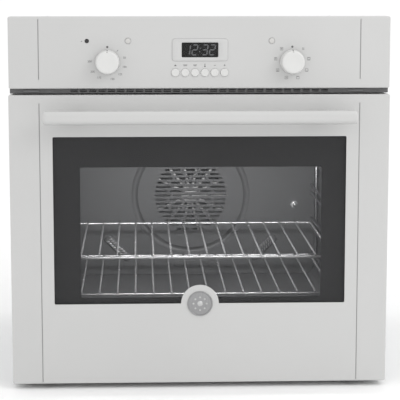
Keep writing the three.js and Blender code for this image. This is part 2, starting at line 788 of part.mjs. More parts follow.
function makeBlower() {
  const floor = WOOL_TOP;
  const h = BLOWER_H;
  const box = block(
    -BLOWER_HALF,
    BLOWER_HALF,
    BLOWER_Y - BLOWER_HALF,
    BLOWER_Y + BLOWER_HALF,
    floor,
    BLOWER_TOP,
  );
  const post = (r, z0, z1, sides = 24) => rod([0, BLOWER_Y, z0], [0, BLOWER_Y, z1], r, sides);
  const mouth = block(-60, 60, BLOWER_Y - BLOWER_HALF - 1, BLOWER_Y - 20, floor + 2, floor + 32);
  const housing = without(box, [
    post(BLOWER_R + 8, floor + 2, BLOWER_TOP - 2),
    post(BLOWER_R - 12, BLOWER_TOP - 3, BLOWER_TOP + 1),
    mouth,
  ]);
  place('blower_housing', housing, 'galvanised');

  const can = post(24, BLOWER_TOP + 2, BLOWER_TOP + 40);
  const arm = block(-BLOWER_R + 2, BLOWER_R - 2, -5, 5, BLOWER_TOP, BLOWER_TOP + 2.5);
  const arms = [0, 90].map((turn) => arm.rotate([0, 0, turn]).translate([0, BLOWER_Y, 0]));
  const bore = post(SHAFT_R + GAP, BLOWER_TOP - 1, BLOWER_TOP + 22, 12);
  place('blower_motor', joined([can, ...arms]).subtract(bore), 'blackPart');

  const blades = 12;
  const round = (r, z0, z1, sides = 30) => rod([0, 0, z0], [0, 0, z1], r, sides);
  const top = round(BLOWER_R, h - 8, h - 6);
  const ring = round(BLOWER_R, 5, 7).subtract(round(BLOWER_R - 12, 4, 8));
  const vane = block(BLOWER_R - 12, BLOWER_R - 1, -0.7, 0.7, 6, h - 7);
  const vanes = Array.from({ length: blades }, (_, i) => vane.rotate([0, 0, (i * 360) / blades]));
  const spindle = round(SHAFT_R, h - 12, h + 18, 12);
  const wheel = new THREE.Group();
  wheel.position.set(0, BLOWER_Y, floor);
  oven.add(wheel);
  place('blower_wheel', joined([top, ring, spindle, ...vanes]), 'brushed', wheel);

  const y1 = BLOWER_Y - BLOWER_HALF;
  const mouthHalf = 60;
  const duct = (grow, yFront, yRear) => [
    [-OUTLET_HALF_W - grow, yFront],
    [OUTLET_HALF_W + grow, yFront],
    [mouthHalf + grow, yRear],
    [-mouthHalf - grow, yRear],
  ];
  const ductTop = PANEL_BOTTOM + 1;
  const shell = prismZ(duct(2, BODY_FRONT, y1), floor, ductTop);
  const air = prismZ(duct(0, BODY_FRONT - 0.01, y1 + 0.01), floor + 1.5, ductTop - 1.5);
  place('air_duct', shell.subtract(air), 'galvanised');
}

// ---- control panel ----------------------------------------------------------------------

// A folded front sheet: a plate with rounded front edges and returns that reach back to yBack.
function foldedFront(halfW, z0, z1, yBack) {
  const shell = prismY(roundRect(-halfW, halfW, z0, z1, FRONT_CORNER), DOOR_FACE, yBack, FRONT_EDGE);
  const hollow = block(
    -halfW + RETURN_T,
    halfW - RETURN_T,
    SKIN_REAR,
    yBack + 1,
    z0 + RETURN_T,
    z1 - RETURN_T,
  );
  return shell.subtract(hollow);
}

function grooves(z0, z1) {
  return bothSides((side) => block(
    side * GROOVE_X - GROOVE_W / 2,
    side * GROOVE_X + GROOVE_W / 2,
    DOOR_FACE - 1,
    DOOR_FACE + GROOVE_DEPTH,
    z0,
    z1,
  ));
}

const buttonX = (index) => (index - (BUTTONS - 1) / 2) * BUTTON_PITCH;

function makeControlPanel() {
  const front = DOOR_FACE - 1;
  const rear = SKIN_REAR + 1;
  const cuts = [
    ...grooves(PANEL_BOTTOM + 14, PANEL_TOP - 4),
    ...bothSides((side) => discY(side * KNOB_X, KNOB_Z, SHAFT_R + 2, front, rear, 16)),
    prismY(roundRect(
      -COLLAR_W / 2 - GAP,
      COLLAR_W / 2 + GAP,
      TIMER_Z - COLLAR_H / 2 - GAP,
      TIMER_Z + COLLAR_H / 2 + GAP,
      2 + GAP,
    ), front, rear),
    ...LENSES.map(([x, r]) => discY(x, LENS_Z, r + GAP, front, rear, 16)),
  ];
  for (let i = 0; i < BUTTONS; i += 1) {
    cuts.push(discY(buttonX(i), BUTTON_Z, BUTTON_R + GAP, front, rear, ROUND_STEPS));
  }
  const shell = foldedFront(HALF_PANEL, PANEL_BOTTOM, PANEL_TOP, FRAME_FACE);
  place('control_panel', without(shell, cuts), 'enamel');
}

function makeControlWorks() {
  const y = BRACKET_Y;
  const halfW = HALF_PANEL - 12;
  const z0 = PANEL_BOTTOM + 6;
  const z1 = PANEL_TOP - 6;
  const plate = block(-halfW, halfW, y, y + SHEET, z0, z1);
  const ears = bothSides((side) => block(
    Math.min(side * halfW, side * (halfW - SHEET)),
    Math.max(side * halfW, side * (halfW - SHEET)),
    y,
    FRAME_FACE,
    z0,
    z1,
  ));
  const cuts = [
    block(-MODULE.halfW - GAP, MODULE.halfW + GAP, y - 1, y + 2, MODULE.z0 - GAP, MODULE.z1 + GAP),
    ...bothSides((side) => discY(side * KNOB_X, KNOB_Z, SHAFT_R + 2, y - 1, y + 2, 16)),
  ];
  place('control_bracket', without(joined([plate, ...ears]), cuts), 'galvanised');

  const timer = block(-MODULE.halfW, MODULE.halfW, y, y + 26, MODULE.z0, MODULE.z1);
  const recess = block(-MODULE.halfW + 4, MODULE.halfW - 4, y + 4, y + 27, MODULE.z0 + 4, MODULE.z1 - 4);
  place('timer_module', timer.subtract(recess), 'circuit');

  const bodies = [
    { name: 'thermostat_body', side: -1, half: 21, depth: 32 },
    { name: 'selector_switch_body', side: 1, half: 20, depth: 52 },
  ];
  for (const { name, side, half, depth } of bodies) {
    const x = side * KNOB_X;
    const box = block(x - half, x + half, y + SHEET, y + SHEET + depth, KNOB_Z - half, KNOB_Z + half);
    const tags = [-10, 10].map((dx) => block(
      x + dx - 3,
      x + dx + 3,
      y + SHEET + depth - 1,
      y + SHEET + depth + 9,
      KNOB_Z - 1,
      KNOB_Z + 1,
    ));
    const bore = discY(x, KNOB_Z, SHAFT_R + GAP, y, y + 18, 12);
    place(name, joined([box, ...tags]).subtract(bore), 'blackPart');
  }

  LENSES.forEach(([x, r], i) => {
    const lens = discY(x, LENS_Z, r, DOOR_FACE - 0.8, y, 16);
    place(`indicator_lens_${i + 1}`, lens, i === 0 ? 'blackPart' : 'lens');
  });
}

function makeTimerFront() {
  const flange = prismY(
    roundRect(-BEZEL_W / 2, BEZEL_W / 2, TIMER_Z - BEZEL_H / 2, TIMER_Z + BEZEL_H / 2, 4),
    DOOR_FACE - 1.2,
    DOOR_FACE,
    0.6,
    1,
  );
  const collar = prismY(
    roundRect(-COLLAR_W / 2, COLLAR_W / 2, TIMER_Z - COLLAR_H / 2, TIMER_Z + COLLAR_H / 2, 2),
    DOOR_FACE - 0.5,
    BRACKET_Y,
  );
  const half = WINDOW_W / 2;
  const low = TIMER_Z - WINDOW_H / 2;
  const high = TIMER_Z + WINDOW_H / 2;
  const hole = prismY(roundRect(-half, half, low, high, 2), DOOR_FACE - 3, BRACKET_Y + 1);
  place('timer_bezel', joined([flange, collar]).subtract(hole), 'plastic');
  const pane = prismY(
    roundRect(-half + GAP, half - GAP, low + GAP, high - GAP, 2 - GAP),
    DOOR_FACE - 0.4,
    BRACKET_Y,
  );
  place('display_window', pane, 'darkGlass');
}

function makeButtons() {
  const proud = DOOR_FACE - BUTTON_PROUD;
  const stop = BRACKET_Y - BUTTON_TRAVEL - 0.4;
  for (let i = 0; i < BUTTONS; i += 1) {
    const depth = stop - proud;
    const profile = [[0, 0], [BUTTON_R - 1.2, 0], [BUTTON_R, 0.9], [BUTTON_R, depth], [0, depth]];
    const cap = new THREE.LatheGeometry(profile.map(([r, y]) => new THREE.Vector2(r, y)), ROUND_STEPS);
    const flange = discY(0, 0, BUTTON_R + 0.9, SKIN_REAR + GAP - proud, depth, ROUND_STEPS);
    const button = place(`timer_button_${i + 1}`, solid(cap).add(flange), 'plastic');
    button.position.set(buttonX(i), proud, BUTTON_Z);
  }
}

function makeKnob(prefix, side) {
  const group = new THREE.Group();
  group.position.set(side * KNOB_X, DOOR_FACE - KNOB_GAP, KNOB_Z);
  oven.add(group);
  const tip = -KNOB_DEPTH;
  const profile = [
    [0, 0], [KNOB_R - 0.6, 0], [KNOB_R, -0.8], [KNOB_R - 0.3, tip + 3.4], [KNOB_R - 0.9, tip + 1.4],
    [KNOB_R - 2.4, tip + 0.3], [KNOB_R - 4, tip], [0, tip + 0.4],
  ];
  const outline = profile.map(([r, y]) => new THREE.Vector2(r, y));
  const skirt = solid(new THREE.LatheGeometry(outline, KNOB_SIDES));
  const stem = discY(0, 0, 6.5, -KNOB_DEPTH + 4, 2, 16);
  const hollow = discY(0, 0, KNOB_R - 3, -KNOB_DEPTH + 5, 1, 24).subtract(stem);
  const bore = discY(0, 0, SHAFT_R + GAP, -KNOB_DEPTH + 6, 1, 12);
  const pointer = block(-0.9, 0.9, tip - 1, tip + 1.2, KNOB_R - 7, KNOB_R + 1);
  place(`${prefix}_knob`, without(skirt, [hollow, bore, pointer]), 'plastic', group);
  const innerEnd = BRACKET_Y + SHEET + 14 - group.position.y;
  place(`${prefix}_shaft`, discY(0, 0, SHAFT_R, -KNOB_DEPTH + 6 + GAP, innerEnd, 12), 'brushed', group);
}

// ---- door -------------------------------------------------------------------------------

function makeDoorShell() {
  const front = DOOR_FACE - 1;
  const rear = SKIN_REAR + 1;
  const window = prismY(roundRect(-GLASS_HALF_W, GLASS_HALF_W, GLASS_BOTTOM, GLASS_TOP, 2), front, rear);
  const tab = discY(0, GLASS_BOTTOM, TAB_R, front - 1, rear + 1, 40);
  const shell = foldedFront(HALF_DOOR, DOOR_BOTTOM, DOOR_TOP, DOOR_REAR);
  const cuts = [
    window.subtract(tab),
    ...grooves(DOOR_BOTTOM + 2.5, DOOR_TOP - 13),
    ...bothSides(armSweep),
  ];
  place('door_front_panel', without(shell, cuts), 'enamel');

  const inset = RETURN_T + GAP;
  const sheet = block(
    -HALF_DOOR + inset,
    HALF_DOOR - inset,
    DOOR_REAR - INNER_FRAME_T,
    DOOR_REAR,
    DOOR_BOTTOM + inset,
    DOOR_TOP - inset,
  );
  const opening = prismY(
    roundRect(-INNER_OPEN_HALF_W, INNER_OPEN_HALF_W, INNER_OPEN_BOTTOM, INNER_OPEN_TOP, 10),
    DOOR_REAR - 3,
    DOOR_REAR + 1,
  );
  place('door_inner_frame', without(sheet, [opening, ...bothSides(armSweep)]), 'brushed');
}

// The corner of the door that the fixed hinge arm sweeps as the door turns.
function armSweep(side) {
  const half = ARM_W / 2 + 1.2;
  return block(
    side * HINGE_X - half,
    side * HINGE_X + half,
    HINGE_Y - EYE_R - 1.5,
    DOOR_REAR + 1,
    DOOR_BOTTOM - 1,
    HINGE_Z + ARM_H / 2 + 2,
  );
}

function makeDoorGlass() {
  const outer = prismY(
    roundRect(
      -GLASS_HALF_W - GLASS_LAP,
      GLASS_HALF_W + GLASS_LAP,
      GLASS_BOTTOM - GLASS_LAP,
      GLASS_TOP + GLASS_LAP,
      4,
    ),
    SKIN_REAR,
    SKIN_REAR + GLASS_T,
  );
  place('door_outer_glass', outer, 'darkGlass');
  const rear = DOOR_REAR - INNER_FRAME_T;
  const inner = prismY(
    roundRect(
      -INNER_OPEN_HALF_W - GLASS_LAP,
      INNER_OPEN_HALF_W + GLASS_LAP,
      INNER_OPEN_BOTTOM - GLASS_LAP,
      INNER_OPEN_TOP + GLASS_LAP,
      4,
    ),
    rear - GLASS_T,
    rear,
  );
  place('door_inner_glass', inner, 'clearGlass');
  place('badge_disc', discY(0, GLASS_BOTTOM, BADGE_R, DOOR_FACE - BADGE_T, DOOR_FACE, 36), 'brushed');
}

function makeHandle() {
  const front = DOOR_FACE - HANDLE_REACH - HANDLE_T;
  const corner = 6;
  const low = HANDLE_Z - HANDLE_H / 2;
  const shape = roundRect(low, low + HANDLE_H, front, front + HANDLE_T, corner);
  const endRound = 3;
  const geometry = new THREE.ExtrudeGeometry(shape, {
    depth: HANDLE_L - 2 * endRound,
    curveSegments: ARC_STEPS,
    bevelEnabled: true,
    bevelSize: endRound,
    bevelOffset: -endRound,
    bevelThickness: endRound,
    bevelSegments: 2,
  });
  // the outline's first axis is Z and its second is Y; the extrusion runs along X
  const turn = new THREE.Matrix4().set(0, 0, 1, 0, 0, 1, 0, 0, 1, 0, 0, 0, 0, 0, 0, 1);
  geometry.applyMatrix4(turn);
  geometry.translate(-HANDLE_L / 2 + endRound, 0, 0);
  place('handle_bar', solid(geometry), 'enamel');
  for (const [word, side] of SIDES) {
    const x = side * POST_X;
    const half = POST_W / 2;
    const foot = roundRect(x - half, x + half, HANDLE_Z - half, HANDLE_Z + half, 3);
    place(`handle_bracket_${word}`, prismY(foot, DOOR_FACE - HANDLE_REACH, DOOR_FACE), 'enamel');
  }
}

function makeHinges() {
  for (const [word, side] of SIDES) {
    const x = side * HINGE_X;
    const half = ARM_W / 2;
    const eye = rod([x - half, HINGE_Y, HINGE_Z], [x + half, HINGE_Y, HINGE_Z], EYE_R, 20);
    const bar = block(x - half, x + half, HINGE_Y, ARM_REAR, HINGE_Z - ARM_H / 2, HINGE_Z + ARM_H / 2);
    const foot = block(x - half, x + half, BODY_FRONT + GAP, ARM_REAR, SHEET, HINGE_Z);
    const hole = rod([x - half - 1, HINGE_Y, HINGE_Z], [x + half + 1, HINGE_Y, HINGE_Z], PIN_R + GAP, 16);
    place(`hinge_arm_${word}`, without(joined([eye, bar, foot]), [hole]), 'galvanised');

    const inner = half + 0.6;
    const outer = inner + 2;
    const top = INNER_OPEN_BOTTOM - GLASS_LAP - 3;
    const cheek = (d) => block(
      Math.min(x + d * inner, x + d * outer),
      Math.max(x + d * inner, x + d * outer),
      SKIN_REAR,
      HINGE_Y + 12,
      HINGE_Z - 8,
      top,
    );
    const web = block(x - outer, x + outer, SKIN_REAR, SKIN_REAR + 2, HINGE_Z + 14, top);
    const pin = rod([x - outer, HINGE_Y, HINGE_Z], [x + outer, HINGE_Y, HINGE_Z], PIN_R, 16);
    place(`hinge_bracket_${word}`, joined([cheek(-1), cheek(1), web, pin]), 'galvanised');
  }
}

makeCasing();
makeTerminalBlock();
makeFrontFrame();
makeAirOutlet();
makeLiner();
makeInsulation();
makeBaffle();
makeElements();
makeLamp();
makeRacks();
makeShelf('wire_shelf_lower', SHELF_LEVELS[0]);
makeShelf('wire_shelf_upper', SHELF_LEVELS[1]);
makeSeal();
makeConvectionFan();
makeBlower();
makeControlPanel();
makeControlWorks();
makeTimerFront();
makeButtons();
makeKnob('thermostat', -1);
makeKnob('selector', 1);
makeDoorShell();
makeDoorGlass();
makeHandle();
makeHinges();

export default oven;
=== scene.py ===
"""Built-in wall oven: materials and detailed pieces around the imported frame.

Metres, +Z up, the door faces -Y and +X is to the right. Places come from the frame's boxes, with
offsets given in millimetres where a detail has no node of its own.
"""

import json
import math

import bmesh
import bpy
from mathutils import Matrix, Vector
from mathutils.geometry import delaunay_2d_cdt


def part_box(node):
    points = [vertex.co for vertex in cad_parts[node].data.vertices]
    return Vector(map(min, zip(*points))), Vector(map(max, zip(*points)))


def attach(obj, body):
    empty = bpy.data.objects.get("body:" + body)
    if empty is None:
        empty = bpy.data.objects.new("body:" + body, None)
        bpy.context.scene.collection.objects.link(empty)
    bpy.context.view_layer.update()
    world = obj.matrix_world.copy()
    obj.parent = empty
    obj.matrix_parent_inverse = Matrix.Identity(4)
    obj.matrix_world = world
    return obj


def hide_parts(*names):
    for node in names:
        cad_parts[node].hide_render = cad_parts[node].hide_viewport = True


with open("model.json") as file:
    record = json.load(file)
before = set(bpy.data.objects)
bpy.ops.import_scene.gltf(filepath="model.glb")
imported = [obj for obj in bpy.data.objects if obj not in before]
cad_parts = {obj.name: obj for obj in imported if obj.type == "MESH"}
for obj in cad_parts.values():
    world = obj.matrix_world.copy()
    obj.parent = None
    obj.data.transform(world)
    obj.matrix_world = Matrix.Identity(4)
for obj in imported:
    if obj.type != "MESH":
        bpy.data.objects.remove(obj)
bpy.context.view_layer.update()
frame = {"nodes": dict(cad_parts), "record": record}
NODES = frame["nodes"]
MM = 0.001
FRONT, BACK = (0, -1, 0), (0, 1, 0)
INK_T = 0.06 * MM  # thickness of printed marks
INK_GAP = 0.02 * MM
SIDES = {"left": -1, "right": 1}


# ---- camera, floor and light ----

DOOR_LOW, DOOR_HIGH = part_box("door_front_panel")
PANEL_LOW, PANEL_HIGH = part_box("control_panel")
FACE_Y = DOOR_LOW.y
FRONT_MID = Vector((0, FACE_Y, (DOOR_LOW.z + PANEL_HIGH.z) / 2))
CAMERA_PLACE = Vector((-0.095, -2.4, 0.3525))  # from the middle of the front
AIM_RISE = 4 * MM
LENS = 139
SENSOR = 36
WORLD_LIGHT = 1.08
FLOOR_HALF = 40
FLOOR_DROP = 0.5 * MM
KEY_LIGHT = 11
CAVITY_LIGHT = 1.6


def add_object(name, data):
    made = bpy.data.objects.new(name, data)
    bpy.context.scene.collection.objects.link(made)
    return made


def aim_object(thing, place, aim):
    thing.location = place
    thing.rotation_euler = (Vector(aim) - Vector(place)).to_track_quat("-Z", "Y").to_euler()


def make_camera():
    data = bpy.data.cameras.new("camera")
    data.lens = LENS
    data.sensor_width = SENSOR
    camera = add_object("camera", data)
    aim_object(camera, FRONT_MID + CAMERA_PLACE, FRONT_MID + Vector((0, 0, AIM_RISE)))
    bpy.context.scene.camera = camera


def area_light(name, place, aim, size, power):
    data = bpy.data.lights.new(name, "AREA")
    data.shape = "RECTANGLE"
    data.size, data.size_y = size
    data.energy = power
    aim_object(add_object(name, data), place, aim)


def make_studio():
    bpy.context.scene.view_settings.view_transform = "Standard"
    world = bpy.data.worlds.new("studio")
    world.use_nodes = True
    background = world.node_tree.nodes["Background"]
    background.inputs["Color"].default_value = (1, 1, 1, 1)
    background.inputs["Strength"].default_value = WORLD_LIGHT
    bpy.context.scene.world = world
    mesh = bpy.data.meshes.new("floor")
    corners = [(x * FLOOR_HALF, y * FLOOR_HALF, 0) for x, y in ((-1, -1), (1, -1), (1, 1), (-1, 1))]
    mesh.from_pydata(corners, [], [(0, 1, 2, 3)])
    floor = add_object("floor", mesh)
    floor.location.z = -FLOOR_DROP
    floor.data.materials.append(simple("floor_paint", (0.95, 0.95, 0.95), 0.9))
    area_light("key_light", (1.5, -1.6, 1.7), (0, -0.2, 0.3), (1.2, 0.9), KEY_LIGHT)
    low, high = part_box("cavity_liner")
    roof = Vector((0, low.y + 0.05, high.z - 0.02))
    area_light("cavity_light", roof, roof + Vector((0, 0.35, -0.32)), (0.36, 0.05), CAVITY_LIGHT)


# ---- materials ----


class Shader:
    """A material's node tree, with short ways to add textures to it."""

    def __init__(self, name, color, rough, metal=0.0):
        self.material = bpy.data.materials.new(name)
        self.material.use_nodes = True
        self.tree = self.material.node_tree
        self.bsdf = self.tree.nodes["Principled BSDF"]
        self.color = color
        self.set("Base Color", (*color, 1))
        self.set("Roughness", rough)
        self.set("Metallic", metal)
        self.place = self.tree.nodes.new("ShaderNodeTexCoord").outputs["Object"]

    def set(self, socket, value):
        self.bsdf.inputs[socket].default_value = value
        return self

    def link(self, source, target):
        self.tree.links.new(source, target)

    def stretched(self, scale):
        node = self.tree.nodes.new("ShaderNodeMapping")
        node.inputs["Scale"].default_value = scale
        self.link(self.place, node.inputs["Vector"])
        return node.outputs["Vector"]

    def noise(self, scale, detail=3.0, stretch=(1, 1, 1)):
        node = self.tree.nodes.new("ShaderNodeTexNoise")
        node.inputs["Scale"].default_value = scale
        node.inputs["Detail"].default_value = detail
        self.link(self.stretched(stretch), node.inputs["Vector"])
        return node.outputs["Fac"]

    def cells(self, scale):
        node = self.tree.nodes.new("ShaderNodeTexVoronoi")
        node.inputs["Scale"].default_value = scale
        self.link(self.place, node.inputs["Vector"])
        return node.outputs["Color"]

    def ramp(self, source, low, high, start, end):
        node = self.tree.nodes.new("ShaderNodeMapRange")
        for name, value in (("From Min", start), ("From Max", end), ("To Min", low), ("To Max", high)):
            node.inputs[name].default_value = value
        self.link(source, node.inputs["Value"])
        return node.outputs["Result"]

    def colors(self, source, stops):
        node = self.tree.nodes.new("ShaderNodeValToRGB")
        elements = node.color_ramp.elements
        while len(elements) < len(stops):
            elements.new(0.5)
        for element, (place, color) in zip(elements, stops):
            element.position = place
            element.color = (*color, 1)
        self.link(source, node.inputs["Fac"])
        self.link(node.outputs["Color"], self.bsdf.inputs["Base Color"])
        return self

    def tones(self, source, start, low, end, high):
        """Drifts from a darker to a lighter shade of the material's colour."""
        return self.colors(source, [(start, shade(self.color, low)), (end, shade(self.color, high))])

    def roughness(self, source, low, high, start=0.3, end=0.7):
        self.link(self.ramp(source, low, high, start, end), self.bsdf.inputs["Roughness"])
        return self

    def bump(self, source, height, strength=1.0):
        node = self.tree.nodes.new("ShaderNodeBump")
        node.inputs["Distance"].default_value = height
        node.inputs["Strength"].default_value = strength
        self.link(source, node.inputs["Height"])
        self.link(node.outputs["Normal"], self.bsdf.inputs["Normal"])
        return self


def shade(color, amount):
    return tuple(channel * amount for channel in color)


def simple(name, color, rough, metal=0.0):
    shader = Shader(name, color, rough, metal)
    patches = shader.noise(6)
    shader.tones(patches, 0.3, 0.985, 0.7, 1)
    shader.roughness(patches, rough * 0.95, min(rough * 1.05, 1))
    return shader.material


def enamel(name, color, rough=0.3):
    """Fired enamel: a smooth coat with a faint orange peel and slight tone drift."""
    shader = Shader(name, color, rough)
    shader.tones(shader.noise(4, 2), 0.35, 0.985, 0.65, 1.01)
    shader.roughness(shader.noise(30, 2), rough * 0.95, rough * 1.1)
    shader.bump(shader.noise(180, 2), 0.004 * MM, 0.5)
    shader.set("Specular IOR Level", 0.4)
    return shader.material


def speckled(name, color, fleck):
    """Oven cavity enamel: dark, glossy and finely flecked."""
    shader = Shader(name, color, 0.28)
    flecks = shader.ramp(shader.noise(1900, 1), 0, 1, 0.55, 0.75)
    shader.colors(flecks, [(0.0, color), (1.0, fleck)])
    shader.roughness(shader.noise(6), 0.34, 0.38)
    shader.bump(shader.noise(350, 2), 0.01 * MM)
    return shader.material


def plastic(name, color, rough=0.4):
    shader = Shader(name, color, rough)
    shader.tones(shader.noise(25, 2), 0.35, 0.97, 0.65, 1)
    shader.roughness(shader.noise(90, 2), rough * 0.9, min(rough * 1.12, 1))
    shader.bump(shader.noise(2200, 1), 0.008 * MM)
    return shader.material


def chrome(name, color, rough, metal=1.0):
    shader = Shader(name, color, rough, metal)
    shader.tones(shader.noise(30), 0.3, 0.9, 0.7, 1)
    shader.roughness(shader.noise(60), rough * 0.9, rough * 1.15)
    return shader.material


def galvanised(name, color):
    """Zinc coated sheet: spangles that differ in tone and gloss."""
    shader = Shader(name, color, 0.42, 0.85)
    spangle = shader.cells(170)
    shader.tones(spangle, 0.0, 0.92, 1.0, 1.05)
    shader.roughness(spangle, 0.38, 0.48, 0.1, 0.9)
    shader.bump(shader.noise(500), 0.006 * MM)
    return shader.material


def brushed(name, color, rough=0.32, stretch=(12, 12, 700)):
    shader = Shader(name, color, rough, 0.95)
    lines = shader.noise(4, 4, stretch)
    shader.tones(lines, 0.3, 0.82, 0.7, 1.06)
    shader.roughness(lines, rough * 0.8, rough * 1.3)
    shader.bump(lines, 0.01 * MM, 0.5)
    return shader.material


def glass(name, color, alpha, rough=0.03):
    """A thin pane: its tint is its opacity, with faint wiping marks in the gloss."""
    shader = Shader(name, color, rough)
    shader.roughness(shader.noise(9, 4, (1, 1, 2.5)), rough * 0.6, rough * 1.8)
    shader.set("Alpha", alpha).set("IOR", 1.5)
    return shader.material


def wool(name, color):
    shader = Shader(name, color, 0.95)
    fibres = shader.noise(90, 6, (1, 3, 5))
    shader.tones(fibres, 0.3, 0.6, 0.7, 1)
    shader.bump(fibres, 1.5 * MM)
    return shader.material


def heater(name):
    shader = Shader(name, (0.10, 0.095, 0.09), 0.5, 0.5)
    shader.colors(shader.noise(70, 4), [(0.35, (0.06, 0.055, 0.05)), (0.7, (0.16, 0.14, 0.125))])
    shader.bump(shader.noise(900), 0.02 * MM)
    return shader.material


def glow(name, color, strength):
    shader = Shader(name, shade(color, 0.4), 0.5)
    shader.set("Emission Color", (*color, 1)).set("Emission Strength", strength)
    shader.roughness(shader.noise(300), 0.4, 0.6)
    return shader.material


RECIPES = {
    "white_enamel": (enamel, (0.545, 0.545, 0.54)),
    "handle_enamel": (enamel, (0.55, 0.55, 0.545), 0.24),
    "white_plastic": (plastic, (0.65, 0.65, 0.64)),
    "door_glass": (glass, (0.012, 0.012, 0.014), 0.16),
    "inner_glass": (glass, (0.25, 0.26, 0.26), 0.05),
    "display_glass": (glass, (0.004, 0.004, 0.004), 0.55),
    "chrome_wire": (chrome, (0.86, 0.86, 0.87), 0.24, 0.7),
    "grey_enamel": (speckled, (0.15, 0.151, 0.155), (0.18, 0.18, 0.185)),
    "galvanised_steel": (galvanised, (0.44, 0.45, 0.46)),
    "brushed_steel": (brushed, (0.60, 0.60, 0.60)),
    "fan_aluminium": (brushed, (0.66, 0.66, 0.67), 0.3, (20, 20, 20)),
    "heater_steel": (heater,),
    "mineral_wool": (wool, (0.60, 0.55, 0.40)),
    "seal_rubber": (plastic, (0.03, 0.03, 0.03), 0.75),
    "lamp_glass": (glass, (0.85, 0.85, 0.83), 0.35, 0.12),
    "lens_plastic": (plastic, (0.56, 0.555, 0.54), 0.25),
    "black_plastic": (plastic, (0.022, 0.022, 0.022), 0.5),
    "module_plastic": (plastic, (0.12, 0.14, 0.13), 0.5),
}
PAINT = {name: make(name, *values) for name, (make, *values) in RECIPES.items()}
INK = plastic("grey_ink", (0.11, 0.11, 0.11), 0.55)
# Pale grey, for the printed rings round two lenses and for painted shade round the timer's frame.
PALE_INK_AND_SHADE = plastic("pale_ink_and_shade", (0.44, 0.44, 0.44), 0.55)
BEZEL = plastic("bezel_plastic", (0.56, 0.56, 0.555), 0.4)
# Grey painted shade for the pressed grooves of the front sheets.
GROOVE_SHADE = plastic("groove_shade_paint", (0.30, 0.30, 0.30), 0.6)
MEDAL = brushed("medallion_steel", (0.36, 0.36, 0.365), 0.4, (700, 12, 12))
OUTLET = plastic("outlet_grey", (0.13, 0.13, 0.132), 0.55)
FRIT = simple("black_frit", (0.024, 0.024, 0.025), 0.5)
# Darker copy of the shelves' chrome: painted shade on the side racks.
RACK_SHADE = chrome("rack_wire_shade", (0.42, 0.42, 0.43), 0.3)
# Bright grey painted highlight for the fan blades, a lit copy of the fan's aluminium.
BLADE_HIGHLIGHT = plastic("fan_blade_highlight", (0.8, 0.8, 0.8), 0.35)
# Dark grey painted shade for the handle bar's lower edge.
HANDLE_EDGE_SHADE = plastic("handle_edge_shade", (0.33, 0.33, 0.33), 0.5)
LABEL = simple("label_film", (0.55, 0.56, 0.57), 0.35, 0.4)
# Dark grey painted shade for the fan's back disc, a shaded copy of the fan's aluminium.
FAN_DISC_SHADE = simple("fan_shadow_grey", (0.1, 0.1, 0.104), 0.6)
DIGITS = glow("display_digits", (0.72, 0.74, 0.76), 0.75)
BRASS = chrome("terminal_brass", (0.62, 0.47, 0.2), 0.3)


# ---- mesh helpers ----


def finish_piece(name, bm, body, slot, replaces=(), smooth_angle=40, paint=None):
    bmesh.ops.recalc_face_normals(bm, faces=bm.faces)
    mesh = bpy.data.meshes.new(name)
    bm.to_mesh(mesh)
    bm.free()
    mesh.shade_smooth()
    mesh.set_sharp_from_angle(angle=math.radians(smooth_angle))
    piece = add_object(name, mesh)
    mesh.materials.append(paint or PAINT[slot])
    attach(piece, body)
    if replaces:
        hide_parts(*replaces)


def add_faces(bm, rings, wrap=False):
    """Skins a list of equal rings of points. It caps the ends, or wraps the last ring to the first."""
    loops = [[bm.verts.new(point) for point in ring] for ring in rings]
    for low, high in zip(loops, loops[1:] + loops[:1] if wrap else loops[1:]):
        count = len(low)
        for i in range(count):
            j = (i + 1) % count
            bm.faces.new((low[i], low[j], high[j], high[i]))
    if not wrap:
        bm.faces.new(list(reversed(loops[0])))
        bm.faces.new(loops[-1])


def lathe(bm, profile, origin, steps, axis=FRONT):
    """Turns a profile of (radius, height) about an axis through origin. A zero radius closes an end."""
    turn = Vector((0, 0, 1)).rotation_difference(Vector(axis)).to_matrix()
    angles = [2 * math.pi * i / steps for i in range(steps)]
    rings = []
    for radius, height in profile:
        reach = max(radius, 1e-6)
        ring = [Vector((reach * math.cos(a), reach * math.sin(a), height)) for a in angles]
        rings.append([turn @ point + Vector(origin) for point in ring])
    add_faces(bm, rings)


def arc(center, radius, start, end, steps):
    """Points on an arc in the profile plane, angles in degrees."""
    points = []
    for i in range(steps + 1):
        angle = math.radians(start + (end - start) * i / steps)
        points.append((center[0] + radius * math.cos(angle), center[1] + radius * math.sin(angle)))
    return points


def tube(bm, points, radius, sides, closed=False):
    """A round tube along a path, with domed ends unless the path is closed."""
    points = [Vector(point) for point in points]
    count = len(points)
    angles = [2 * math.pi * k / sides for k in range(sides)]
    rings = []
    normal = None
    for i, point in enumerate(points):
        before = points[i - 1] if closed or i else point
        after = points[(i + 1) % count] if closed or i < count - 1 else point
        ahead = (after - before).normalized()
        if normal is None:
            normal = ahead.orthogonal().normalized()
        normal = (normal - ahead * normal.dot(ahead)).normalized()
        side = ahead.cross(normal)
        into = (point - before).normalized() if point != before else ahead
        spread = 1 / max(into.dot(ahead), 0.6)
        rings.append([point + (normal * math.cos(a) + side * math.sin(a)) * radius * spread for a in angles])
    if closed:
        add_faces(bm, rings, wrap=True)
        return
    first = dome_rings(points[0], rings[0], (points[0] - points[1]).normalized(), radius)
    last = dome_rings(points[-1], rings[-1], (points[-1] - points[-2]).normalized(), radius)
    add_faces(bm, first[::-1] + rings + last)


def dome_rings(end, ring, ahead, radius):
    """Two shrinking rings that dome a tube's end, from the end outwards."""
    flatness = 0.6
    rings = []
    for degrees in (30, 60):
        angle = math.radians(degrees)
        rise = ahead * radius * math.sin(angle) * flatness
        rings.append([end + (point - end) * math.cos(angle) + rise for point in ring])
    return rings


